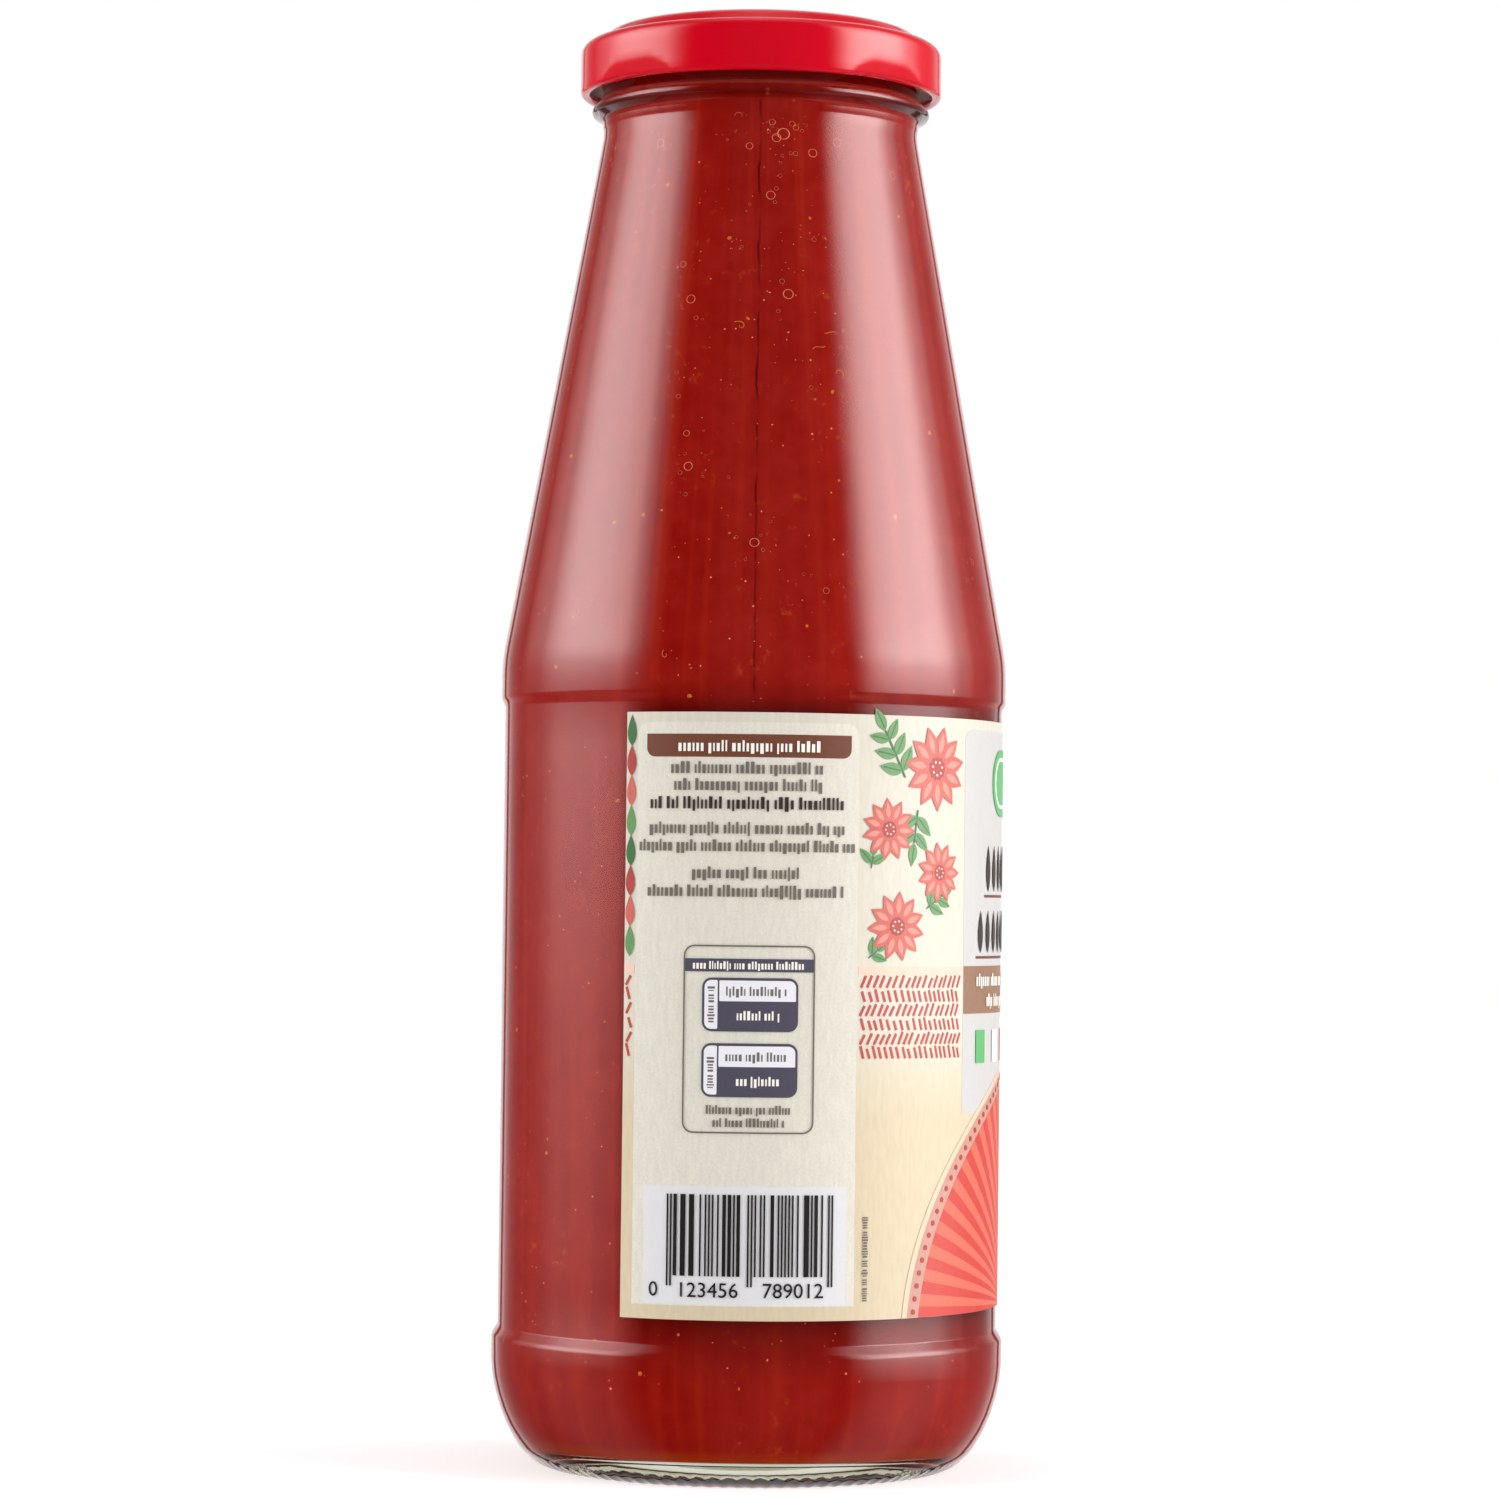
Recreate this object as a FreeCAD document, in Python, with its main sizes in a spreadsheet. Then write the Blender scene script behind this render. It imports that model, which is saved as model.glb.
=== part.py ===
import FreeCAD, Part
import math
import os
from dataclasses import dataclass

import Sketcher

# A glass bottle of tomato pulp with a paper label and a twist-off cap, closed.
# Millimetres. +Z is up, the origin is the middle of the ring that the bottle stands on,
# and the bottle is seen from the front along +Y. Angles are counted about +Z from +X.

# Every size that can be set by itself. Heights of the glass add up from the base.
SIZES = {
    # Base
    "push_up_height": (4.8, "rise of the base's middle above the bearing ring"),
    "push_up_radius": (24.5, "where the shallow dome of the base turns down"),
    "push_up_fall": (1.2, "fall of the dome from its middle to that turn"),
    "push_up_flank": (3.4, "width of the steep flank from the turn to the ring"),
    "push_up_round": (6.0, "rounding of the turn"),
    "bearing_round": (0.6, "rounding at the inside of the bearing ring"),
    # Heel and body
    "heel_round": (7.3, "rounding from the bearing ring into the heel"),
    "heel_tuck": (5.6, "how far the heel's foot stands in from its band"),
    "heel_curve_height": (11.6, "height at which the heel's flank meets the band"),
    "heel_sweep": (32.0, "radius of the curve from the flank into the band"),
    "heel_band_length": (9.0, "length of the plain band over the heel curve"),
    "heel_stand": (0.74, "how far the heel band stands proud of the label panel"),
    "lower_step_length": (2.5, "length of the slope from heel band to label panel"),
    "panel_radius": (38.58, "outer radius of the label panel"),
    "panel_length": (92.8, "length of the label panel"),
    "upper_step_length": (1.7, "length of the slope from panel to shoulder band"),
    "shoulder_stand": (0.56, "how far the shoulder band stands proud of the panel"),
    "shoulder_band_length": (6.6, "length of the shoulder band"),
    "step_round": (4.0, "rounding of the slopes beside the panel"),
    "shoulder_round": (18.0, "rounding from the shoulder band into the cone"),
    "cone_length": (81.7, "height of the long cone between shoulder and neck"),
    "neck_round": (10.0, "rounding from the cone into the neck"),
    "neck_length": (2.5, "straight neck between cone and bead"),
    # Walls
    "side_wall": (2.3, "glass wall at the label panel"),
    "neck_wall": (2.26, "glass wall at the neck"),
    "base_wall": (3.2, "glass under the pulp at the push-up"),
    "heel_wall": (3.5, "glass under the pulp beside the bearing ring"),
    "inner_heel_tuck": (5.3, "how far the cavity's foot stands in from the side wall"),
    "inner_heel_round": (5.0, "rounding of the cavity's foot"),
    "inner_heel_sweep": (24.0, "radius of the cavity's curve into the side wall"),
    # Finish, the part of the glass that takes the cap
    "bore_radius": (22.2, "radius of the mouth"),
    "finish_wall": (2.65, "wall of the finish behind its threads"),
    "finish_length": (12.6, "from the foot of the bead to the sealing rim"),
    "bead_stand": (0.8, "how far the bead stands proud of the finish"),
    "bead_flank": (0.9, "height of each sloping side of the bead"),
    "bead_land": (1.0, "height of the bead's outer face"),
    "bead_round": (0.45, "rounding of the bead"),
    "rim_outer_round": (0.7, "rounding outside the sealing rim"),
    "rim_inner_round": (0.8, "rounding inside the sealing rim"),
    "thread_depth": (1.3, "how far a thread stands proud of the finish"),
    "thread_foot": (2.2, "height of a thread where it leaves the finish"),
    "thread_crest": (0.8, "height of a thread at its crest"),
    "thread_lead": (12.0, "rise of a thread in one full turn"),
    "thread_span": (62.0, "angle that a thread covers at full depth"),
    "thread_fade": (14.0, "angle over which each end of a thread fades out"),
    "thread_fade_slope": (74.0, "slope of the cone on which an end fades"),
    "thread_lap": (18.0, "angle from a thread's lower end to the middle of its lug"),
    "thread_count": (4, "threads round the finish, and lugs in the cap"),
    # Knurls of the bearing ring
    "knurl_count": (72, "short ribs round the bearing ring"),
    "knurl_width": (1.5, "width of a rib"),
    "knurl_lift": (0.03, "how far a rib's underside stays above the bearing ring"),
    "knurl_start": (1.0, "from the ring to where a rib stands proud"),
    "knurl_flat": (1.6, "length of its underside"),
    "knurl_end": (1.5, "length of its sloping outer end"),
    "knurl_end_rise": (0.87, "rise of that end"),
    "knurl_root": (1.8, "how far a rib reaches up into the glass"),
    # Filling
    "headspace": (7.0, "from the sealing rim down to the pulp"),
    # Cap and seal
    "cap_sheet": (0.25, "thickness of the cap's tinplate"),
    "seal_thickness": (1.08, "sealing ring between the rim and the cap"),
    "cap_height": (10.0, "height of the whole cap"),
    "roll_play": (0.45, "clearance from the threads' crest to the rolled edge"),
    "roll_width": (1.5, "width of the rolled edge"),
    "roll_round": (0.6, "rounding of the rolled edge"),
    "roll_height": (1.1, "height of the rolled edge's inner side"),
    "roll_neck": (0.8, "height over which the roll runs back into the skirt"),
    "hem_height": (2.6, "height of the zone that holds roll and lugs"),
    "ridge_rise": (1.83, "rise of the sealing ridge above the cap's shoulder"),
    "ridge_foot_stand": (0.45, "how far the ridge's foot stands outside the finish"),
    "ridge_crest_inset": (1.1, "how far the ridge's crest ends inside the finish"),
    "ridge_inner_inset": (1.2, "how far the crest reaches inside the bore"),
    "ridge_round": (2.0, "rounding of the ridge's outer side"),
    "ridge_inner_slope": (1.0, "width of the ridge's inner side"),
    "crease_round": (0.5, "rounding of the crease at the ridge's foot"),
    "shoulder_roll": (1.8, "rounding from the cap's shoulder into its skirt"),
    "panel_drop": (1.0, "depth of the cap's middle panel below the ridge"),
    "panel_round": (0.7, "rounding of the panel's steps"),
    "button_radius": (8.0, "radius of the safety button"),
    "button_slope": (1.2, "width of the step around the button"),
    "button_drop": (0.5, "depth of the button while the vacuum holds it down"),
    "lug_angle": (45.0, "direction of the first lug"),
    "lug_half_span": (7.0, "half the angle of a lug at full depth"),
    "lug_blend": (9.0, "angle over which roll turns into lug on each side"),
    "lug_gap": (0.3, "clearance between a lug and the wall of the finish"),
    "lug_lift": (0.25, "how far a lug's underside lies above the rolled edge's"),
    "lug_height": (1.0, "height of a lug"),
    "lug_lean": (0.9, "how far the skirt is pressed in above a lug"),
    "lug_round": (0.35, "rounding of a lug"),
    "thread_gap": (0.1, "clearance between a lug and the thread above it"),
    # Label
    "label_thickness": (0.12, "paper and glue"),
    "label_height": (89.6, "height of the label"),
    "label_lift": (2.4, "label's lower edge above the lower end of the panel"),
    "label_start": (-119.0, "direction of the label's first edge"),
    "label_sweep": (270.0, "angle that the label covers"),
}


@dataclass(frozen=True)
class Size:
    """A length or angle: the text that binds it to the sheet, and its value now."""

    text: str
    value: float

    def joined(self, sign, other, value):
        return Size(f"({self.text} {sign} {as_size(other).text})", value)

    def __add__(self, other):
        return self.joined("+", other, self.value + as_size(other).value)

    def __sub__(self, other):
        return self.joined("-", other, self.value - as_size(other).value)

    def __mul__(self, other):
        return self.joined("*", other, self.value * as_size(other).value)

    def __truediv__(self, other):
        return self.joined("/", other, self.value / as_size(other).value)


def as_size(number):
    """A Size as it is, or a plain number made one."""
    if isinstance(number, Size):
        return number
    return Size(repr(float(number)), float(number))


def diagonal(across, up):
    return Size(f"sqrt({across.text}^2 + {up.text}^2)", math.hypot(across.value, up.value))


def smallest(*sizes):
    texts = "; ".join(size.text for size in sizes)
    return Size(f"min({texts})", min(size.value for size in sizes))


@dataclass(frozen=True)
class Corner:
    """A corner of an outline: distance from the axis, height, and its rounding."""

    across: Size
    up: Size
    rounding: Size = None


def write_sheet(document):
    """Puts every size in the sheet, one a row, with its meaning beside it."""
    sheet = document.addObject("Spreadsheet::Sheet", "sizes")
    for row, (name, (value, meaning)) in enumerate(SIZES.items(), start=1):
        sheet.set(f"A{row}", meaning)
        sheet.set(f"B{row}", str(value))
        sheet.setAlias(f"B{row}", name)
    document.recompute()


def named(name):
    """The Size of one cell of the sheet."""
    return Size(f"sizes.{name}", float(SIZES[name][0]))


class Lengths:
    """The driving sizes by name, and the heights and radii that follow from them."""

    def __getattr__(self, name):
        return named(name)

    def __init__(self):
        # Radii of the glass
        self.heel_radius = self.panel_radius + self.heel_stand
        self.foot_radius = self.heel_radius - self.heel_tuck
        self.shoulder_radius = self.panel_radius + self.shoulder_stand
        self.cavity_radius = self.panel_radius - self.side_wall
        self.neck_radius = self.bore_radius + self.neck_wall
        self.finish_radius = self.bore_radius + self.finish_wall
        self.bead_radius = self.finish_radius + self.bead_stand
        self.crest_radius = self.finish_radius + self.thread_depth
        self.flank = diagonal(self.heel_tuck, self.heel_curve_height)
        self.ring_reach = self.heel_round * (self.flank - self.heel_tuck) / self.heel_curve_height
        self.ring_outer = self.foot_radius - self.ring_reach
        # Heights of the glass
        self.heel_top = self.heel_curve_height + self.heel_band_length
        self.panel_foot = self.heel_top + self.lower_step_length
        self.panel_top = self.panel_foot + self.panel_length
        self.shoulder_foot = self.panel_top + self.upper_step_length
        self.cone_foot = self.shoulder_foot + self.shoulder_band_length
        self.cone_top = self.cone_foot + self.cone_length
        self.bead_foot = self.cone_top + self.neck_length
        self.bead_face = self.bead_foot + self.bead_flank
        self.bead_face_top = self.bead_face + self.bead_land
        self.bead_top = self.bead_face_top + self.bead_flank
        self.rim = self.bead_foot + self.finish_length
        # Cap
        self.cap_radius = self.crest_radius + self.roll_play + self.roll_width
        self.skirt_inner = self.cap_radius - self.cap_sheet
        self.cap_top = self.rim + self.seal_thickness + self.cap_sheet
        self.cap_foot = self.cap_top - self.cap_height
        self.hem_top = self.cap_foot + self.hem_height
        self.cap_shoulder = self.cap_top - self.ridge_rise
        self.cap_panel = self.cap_top - self.panel_drop
        self.ridge_foot = self.finish_radius + self.ridge_foot_stand
        self.ridge_outer = self.finish_radius - self.ridge_crest_inset
        self.ridge_inner = self.bore_radius - self.ridge_inner_inset
        self.lug_inner = self.finish_radius + self.lug_gap
        self.lug_foot = self.cap_foot + self.lug_lift
        self.lug_top = self.lug_foot + self.lug_height
        # The thread's underside clears the lower end of its lug.
        self.thread_rise_over_lug = self.thread_lead * self.lug_half_span / 360
        self.thread_middle = (
            self.lug_top + self.thread_gap + self.thread_foot / 2 + self.thread_rise_over_lug
        )


def origin_plane(body, role):
    for feature in body.Origin.OriginFeatures:
        if feature.Role == role:
            return feature
    raise ValueError(f"{body.Label} has no {role}")


def place_point(sketch, name, geometry, end, corner):
    """Fixes a point at a corner's distance and height."""
    for kind, word, size, axis in (
        ("DistanceX", "across", corner.across, -2),
        ("DistanceY", "up", corner.up, -1),
    ):
        if size.value == 0.0:
            sketch.addConstraint(Sketcher.Constraint("PointOnObject", geometry, end, axis))
            continue
        rule = Sketcher.Constraint(kind, -1, 1, geometry, end, size.value)
        index = sketch.addConstraint(rule)
        sketch.renameConstraint(index, f"{word}_{name}")
        sketch.setExpression(f"Constraints.{word}_{name}", size.text)


def rounded_corner(here, before, after, radius):
    """The arc that rounds a corner, as (arc, first point, last point, turns left)."""
    to_before = (before - here).normalize()
    to_after = (after - here).normalize()
    half_angle = to_before.getAngle(to_after) / 2
    reach = radius / math.tan(half_angle)
    start = here + to_before * reach
    end = here + to_after * reach
    centre = here + (to_before + to_after).normalize() * (radius / math.sin(half_angle))
    turns_left = to_after.cross(to_before).z > 0
    first, last = (start, end) if turns_left else (end, start)
    angles = [math.atan2(p.y - centre.y, p.x - centre.x) for p in (first, last)]
    circle = Part.Circle(centre, FreeCAD.Vector(0, 0, 1), radius)
    return Part.ArcOfCircle(circle, *angles), start, end, turns_left


def outline(body, name, corners, direction=None):
    """A closed sketch through the corners, in the upright plane at a direction.

    Each rounded corner is an arc tangent to the two lines that would meet there.
    """
    sketch = body.newObject("Sketcher::SketchObject", name)
    sketch.AttachmentSupport = [(origin_plane(body, "XZ_Plane"), "")]
    sketch.MapMode = "FlatFace"
    if direction is not None:
        turn = FreeCAD.Rotation(FreeCAD.Vector(0, 1, 0), direction.value)
        sketch.AttachmentOffset = FreeCAD.Placement(FreeCAD.Vector(), turn)
        sketch.setExpression(".AttachmentOffset.Rotation.Angle", direction.text)
    points = [FreeCAD.Vector(c.across.value, c.up.value, 0) for c in corners]
    count = len(corners)
    arcs = {}
    starts = list(points)
    ends = list(points)
    for i, corner in enumerate(corners):
        if corner.rounding is None:
            continue
        around = (points[i], points[i - 1], points[(i + 1) % count])
        arc, starts[i], ends[i], turns_left = rounded_corner(*around, corner.rounding.value)
        arcs[i] = (sketch.addGeometry(arc), turns_left)
    lines = [
        sketch.addGeometry(Part.LineSegment(ends[i], starts[(i + 1) % count]))
        for i in range(count)
    ]
    for i, corner in enumerate(corners):
        line_in, line_out = lines[i - 1], lines[i]
        if corner.rounding is None:
            sketch.addConstraint(Sketcher.Constraint("Coincident", line_in, 2, line_out, 1))
            place_point(sketch, i, line_out, 1, corner)
            continue
        arc, turns_left = arcs[i]
        near, far = (1, 2) if turns_left else (2, 1)
        sketch.addConstraint(Sketcher.Constraint("Tangent", line_in, 2, arc, near))
        sketch.addConstraint(Sketcher.Constraint("Tangent", line_out, 1, arc, far))
        index = sketch.addConstraint(
            Sketcher.Constraint("Radius", arc, corner.rounding.value)
        )
        sketch.renameConstraint(index, f"rounding_{i}")
        sketch.setExpression(f"Constraints.rounding_{i}", corner.rounding.text)
        meeting = sketch.addGeometry(Part.Point(points[i]), True)
        sketch.addConstraint(Sketcher.Constraint("PointOnObject", meeting, 1, line_in))
        sketch.addConstraint(Sketcher.Constraint("PointOnObject", meeting, 1, line_out))
        place_point(sketch, i, meeting, 1, corner)
    return sketch


def feature(body, kind, name, sketch, sizes=None):
    """A feature made from a sketch about the upright axis, bound to its sizes."""
    made = body.newObject(f"PartDesign::{kind}", name)
    made.Profile = (sketch, [""])
    if kind != "AdditiveLoft":
        made.ReferenceAxis = (sketch, ["V_Axis"])
    for prop, size in (sizes or {}).items():
        setattr(made, prop, size.value)
        made.setExpression(prop, as_size(size).text)
    return made


def repeat_round(body, name, originals, axis_sketch, count):
    """Repeats features evenly about the upright axis."""
    pattern = body.newObject("PartDesign::PolarPattern", name)
    pattern.Originals = originals
    pattern.Axis = (axis_sketch, ["V_Axis"])
    pattern.Angle = 360
    pattern.Occurrences = int(count.value)
    pattern.setExpression("Occurrences", count.text)
    body.Tip = pattern
    return pattern


def cavity_corners(by, top):
    """The inside of the glass up to a height: the pulp has the same outline."""
    zero = as_size(0)
    floor = by.push_up_height + by.base_wall
    turn_height = floor - by.push_up_fall
    foot = by.cavity_radius - by.inner_heel_tuck
    sweep_height = by.heel_curve_height
    rise = sweep_height - by.heel_wall
    slant = diagonal(by.inner_heel_tuck, rise)
    room = slant - by.inner_heel_round
    widest = room * by.inner_heel_tuck / (slant - rise)
    return [
        Corner(zero, floor),
        Corner(by.push_up_radius, turn_height, by.push_up_round),
        Corner(foot, by.heel_wall, by.inner_heel_round),
        Corner(by.cavity_radius, sweep_height, smallest(by.inner_heel_sweep, widest)),
        Corner(by.cavity_radius, by.cone_foot, by.shoulder_round),
        Corner(by.bore_radius, by.cone_top, by.neck_round),
        Corner(by.bore_radius, top),
        Corner(zero, top),
    ]


def glass_corners(by):
    """The outside of the glass from the push-up round to the sealing rim."""
    zero = as_size(0)
    # The two curves of the heel share its flank, with a short straight between them,
    # and the upper one ends in the band.
    flank_room = by.flank - by.ring_reach
    band_room = by.heel_band_length - by.step_round / 2
    per_reach = by.heel_tuck / (by.flank - by.heel_curve_height)
    flank_limit = flank_room * per_reach * 0.95
    sweep = smallest(by.heel_sweep, flank_limit, band_room * per_reach)
    return [
        Corner(zero, by.push_up_height),
        Corner(by.push_up_radius, by.push_up_height - by.push_up_fall, by.push_up_round),
        Corner(by.push_up_radius + by.push_up_flank, zero, by.bearing_round),
        Corner(by.foot_radius, zero, by.heel_round),
        Corner(by.heel_radius, by.heel_curve_height, sweep),
        Corner(by.heel_radius, by.heel_top, by.step_round),
        Corner(by.panel_radius, by.panel_foot, by.step_round),
        Corner(by.panel_radius, by.panel_top, by.step_round),
        Corner(by.shoulder_radius, by.shoulder_foot, by.step_round),
        Corner(by.shoulder_radius, by.cone_foot, by.shoulder_round),
        Corner(by.neck_radius, by.cone_top, by.neck_round),
        Corner(by.neck_radius, by.bead_foot, by.bead_round),
        Corner(by.bead_radius, by.bead_face, by.bead_round),
        Corner(by.bead_radius, by.bead_face_top, by.bead_round),
        Corner(by.finish_radius, by.bead_top, by.bead_round),
        Corner(by.finish_radius, by.rim, by.rim_outer_round),
        Corner(zero, by.rim),
    ]


def make_knurls(body, by):
    """Short ribs beside the bearing ring, which keep the glass round it from scuffing."""
    inner = by.ring_outer - by.knurl_start
    flat_start = by.ring_outer + by.knurl_start
    flat_end = flat_start + by.knurl_flat
    outer = flat_end + by.knurl_end
    rib = outline(
        body,
        "KnurlSide",
        [
            Corner(inner, by.knurl_root / 3),
            Corner(flat_start, by.knurl_lift),
            Corner(flat_end, by.knurl_lift),
            Corner(outer, by.knurl_lift + by.knurl_end_rise),
            Corner(outer, by.knurl_root),
            Corner(inner, by.knurl_root),
        ],
    )
    pad = body.newObject("PartDesign::Pad", "Knurl")
    pad.Profile = (rib, [""])
    pad.SideType = "Symmetric"
    pad.setExpression("Length", by.knurl_width.text)
    return repeat_round(body, "Knurls", [pad], rib, by.knurl_count)


def make_threads(body, by):
    """Interrupted threads, each fading into the finish at both ends."""
    root = by.finish_radius - by.finish_wall / 3
    sunk = by.thread_foot / 2 + (by.thread_foot - by.thread_crest) / 4
    flat = by.thread_crest / 2
    low = by.lug_angle - by.thread_lap
    rise_to_lug = by.thread_lead * by.thread_lap / 360
    low_middle = by.thread_middle - rise_to_lug
    high_middle = low_middle + by.thread_lead * by.thread_span / 360

    def section(name, direction, middle):
        return outline(
            body,
            name,
            [
                Corner(root, middle - sunk),
                Corner(by.crest_radius, middle - flat),
                Corner(by.crest_radius, middle + flat),
                Corner(root, middle + sunk),
            ],
            direction,
        )

    low_section = section("ThreadLow", low, low_middle)
    high_section = section("ThreadHigh", low + by.thread_span, high_middle)
    parts = []
    for name, start, span, slope, downwards in (
        ("Thread", low_section, by.thread_span, as_size(0), False),
        ("ThreadStart", high_section, by.thread_fade, by.thread_fade_slope, False),
        ("ThreadEnd", low_section, by.thread_fade, by.thread_fade_slope, True),
    ):
        helix = feature(body, "AdditiveHelix", name, start)
        helix.Mode = "pitch-turns-angle"
        helix.Reversed = downwards
        helix.LeftHanded = False
        helix.Pitch = by.thread_lead.value
        helix.setExpression("Pitch", by.thread_lead.text)
        helix.Turns = span.value / 360
        helix.setExpression("Turns", (span / 360).text)
        helix.Angle = -slope.value
        helix.setExpression("Angle", f"-{slope.text}")
        parts.append(helix)
    return repeat_round(body, "Threads", parts, low_section, by.thread_count)


def make_bottle(document, by):
    body = document.addObject("PartDesign::Body", "bottle")
    glass = outline(body, "GlassOutline", glass_corners(by))
    outside = feature(body, "Revolution", "Glass", glass, {"Angle": as_size(360)})
    document.recompute()
    before = outside.Shape.Volume
    inside = outline(body, "CavityOutline", cavity_corners(by, by.rim))
    cavity = feature(body, "Groove", "Cavity", inside, {"Angle": as_size(360)})
    document.recompute()
    if cavity.Shape.Volume > before / 2:
        raise ValueError("the cavity was not cut")
    mouth = edges_at(cavity.Shape, by.bore_radius.value, by.rim.value)
    lip = body.newObject("PartDesign::Fillet", "RimInside")
    lip.Base = (cavity, mouth)
    lip.setExpression("Radius", by.rim_inner_round.text)
    document.recompute()
    make_knurls(body, by)
    document.recompute()
    make_threads(body, by)
    return body


def edges_at(shape, radius, height):
    """Names of the round edges of that radius at that height."""
    found = []
    for index, edge in enumerate(shape.Edges, start=1):
        curve = edge.Curve
        if not isinstance(curve, Part.Circle):
            continue
        if abs(curve.Radius - radius) < 0.01 and abs(curve.Center.z - height) < 0.01:
            found.append(f"Edge{index}")
    if not found:
        raise ValueError(f"no round edge of radius {radius} at height {height}")
    return found


def make_pulp(document, by):
    """Tomato pulp: it fills the cavity up to its level behind the cap."""
    body = document.addObject("PartDesign::Body", "pulp")
    level = by.rim - by.headspace
    sketch = outline(body, "PulpOutline", cavity_corners(by, level))
    feature(body, "Revolution", "Pulp", sketch, {"Angle": as_size(360)})
    return body


def cap_corners(by):
    """The outside of the cap from the safety button to the top of its hem."""
    zero = as_size(0)
    button = by.cap_panel - by.button_drop
    return [
        Corner(zero, button),
        Corner(by.button_radius, button, by.panel_round),
        Corner(by.button_radius + by.button_slope, by.cap_panel, by.panel_round),
        Corner(by.ridge_inner - by.ridge_inner_slope, by.cap_panel, by.panel_round),
        Corner(by.ridge_inner, by.cap_top, by.panel_round),
        Corner(by.ridge_outer, by.cap_top, by.ridge_round),
        Corner(by.ridge_foot, by.cap_shoulder, by.crease_round),
        Corner(by.cap_radius, by.cap_shoulder, by.shoulder_roll),
        Corner(by.cap_radius, by.hem_top),
        Corner(zero, by.hem_top),
    ]


def roll_corners(by):
    """Section of the skirt's lower edge between two lugs, rolled inwards."""
    inner = by.cap_radius - by.roll_width
    return [
        Corner(by.cap_radius, by.hem_top),
        Corner(by.cap_radius, by.cap_foot, by.roll_round),
        Corner(inner, by.cap_foot, by.roll_round),
        Corner(inner, by.cap_foot + by.roll_height),
        Corner(by.skirt_inner, by.cap_foot + by.roll_height + by.roll_neck),
        Corner(by.skirt_inner, by.hem_top),
    ]


def lug_corners(by):
    """Section of the same edge pressed in to a lug, under a leaning skirt."""
    outer = by.cap_radius - by.lug_lean
    return [
        Corner(by.cap_radius, by.hem_top),
        Corner(outer, by.lug_foot, by.lug_round),
        Corner(by.lug_inner, by.lug_foot, by.lug_round),
        Corner(by.lug_inner, by.lug_top),
        Corner(outer - by.cap_sheet, by.lug_top),
        Corner(by.skirt_inner, by.hem_top),
    ]


def make_cap(document, by):
    """Twist-off cap: a drawn shell with a rolled edge that four lugs are pressed into."""
    body = document.addObject("PartDesign::Body", "cap")
    sketch = outline(body, "CapOutline", cap_corners(by))
    blank = feature(body, "Revolution", "CapBlank", sketch, {"Angle": as_size(360)})
    document.recompute()
    underside = [
        f"Face{index}"
        for index, face in enumerate(blank.Shape.Faces, start=1)
        if face.BoundBox.ZMax < by.hem_top.value + 0.01
    ]
    shell = body.newObject("PartDesign::Thickness", "CapShell")
    shell.Base = (blank, underside)
    shell.Reversed = True
    shell.Join = "Intersection"
    shell.setExpression("Value", by.cap_sheet.text)
    document.recompute()
    if shell.Shape.Volume > blank.Shape.Volume / 2:
        raise ValueError("the cap was not hollowed")

    blend_end = by.lug_half_span + by.lug_blend
    first_roll = outline(body, "RollBefore", roll_corners(by), by.lug_angle - blend_end)
    first_lug = outline(body, "LugFirst", lug_corners(by), by.lug_angle - by.lug_half_span)
    last_lug = outline(body, "LugLast", lug_corners(by), by.lug_angle + by.lug_half_span)
    last_roll = outline(body, "RollAfter", roll_corners(by), by.lug_angle + blend_end)
    lug_span = by.lug_half_span * 2
    roll_span = as_size(360) / by.thread_count - blend_end * 2
    lug = feature(body, "Revolution", "Lug", first_lug, {"Angle": lug_span})
    blend_in = feature(body, "AdditiveLoft", "BlendIn", first_roll)
    blend_in.Sections = [(first_lug, [""])]
    blend_out = feature(body, "AdditiveLoft", "BlendOut", last_lug)
    blend_out.Sections = [(last_roll, [""])]
    roll = feature(body, "Revolution", "Roll", last_roll, {"Angle": roll_span})
    repeat_round(body, "Lugs", [lug, blend_in, blend_out, roll], sketch, by.thread_count)
    return body


def make_seal(document, by):
    """Sealing ring in the cap's ridge, pressed on the rim of the glass."""
    body = document.addObject("PartDesign::Body", "seal")
    top = by.cap_top - by.cap_sheet
    outer = by.ridge_outer - by.cap_sheet / 2
    spread = by.seal_thickness * (by.ridge_foot - by.ridge_outer) / by.ridge_rise
    corners = [
        Corner(by.ridge_inner - by.cap_sheet, by.rim),
        Corner(outer + spread, by.rim),
        Corner(outer, top, by.ridge_round - by.cap_sheet),
        Corner(by.ridge_inner + by.cap_sheet * 2, top),
    ]
    sketch = outline(body, "SealOutline", corners)
    feature(body, "Revolution", "Seal", sketch, {"Angle": as_size(360)})
    return body


def make_label(document, by):
    """Paper label on the panel, open at the back of the bottle."""
    body = document.addObject("PartDesign::Body", "label")
    outer = by.panel_radius + by.label_thickness
    foot = by.panel_foot + by.label_lift
    corners = [
        Corner(by.panel_radius, foot),
        Corner(outer, foot),
        Corner(outer, foot + by.label_height),
        Corner(by.panel_radius, foot + by.label_height),
    ]
    sketch = outline(body, "LabelOutline", corners, by.label_start)
    feature(body, "Revolution", "Label", sketch, {"Angle": by.label_sweep})
    return body


def check(document, bodies):
    """Stops if an object failed or a body isn't one sound solid."""
    for item in document.Objects:
        if "Invalid" in item.State or "Error" in item.State:
            raise ValueError(f"{item.Name}: {item.State} {item.getStatusString()}")
    for body in bodies:
        shape = body.Shape
        if shape.isNull() or not shape.isValid() or len(shape.Solids) != 1:
            raise ValueError(f"{body.Label} is not one sound solid")
        box = shape.optimalBoundingBox(False, False)
        print(
            f"{body.Label}: {shape.Volume / 1000:.2f} ml, {box.XLength:.2f} wide, "
            f"from {box.ZMin:.2f} up to {box.ZMax:.2f}"
        )


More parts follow.
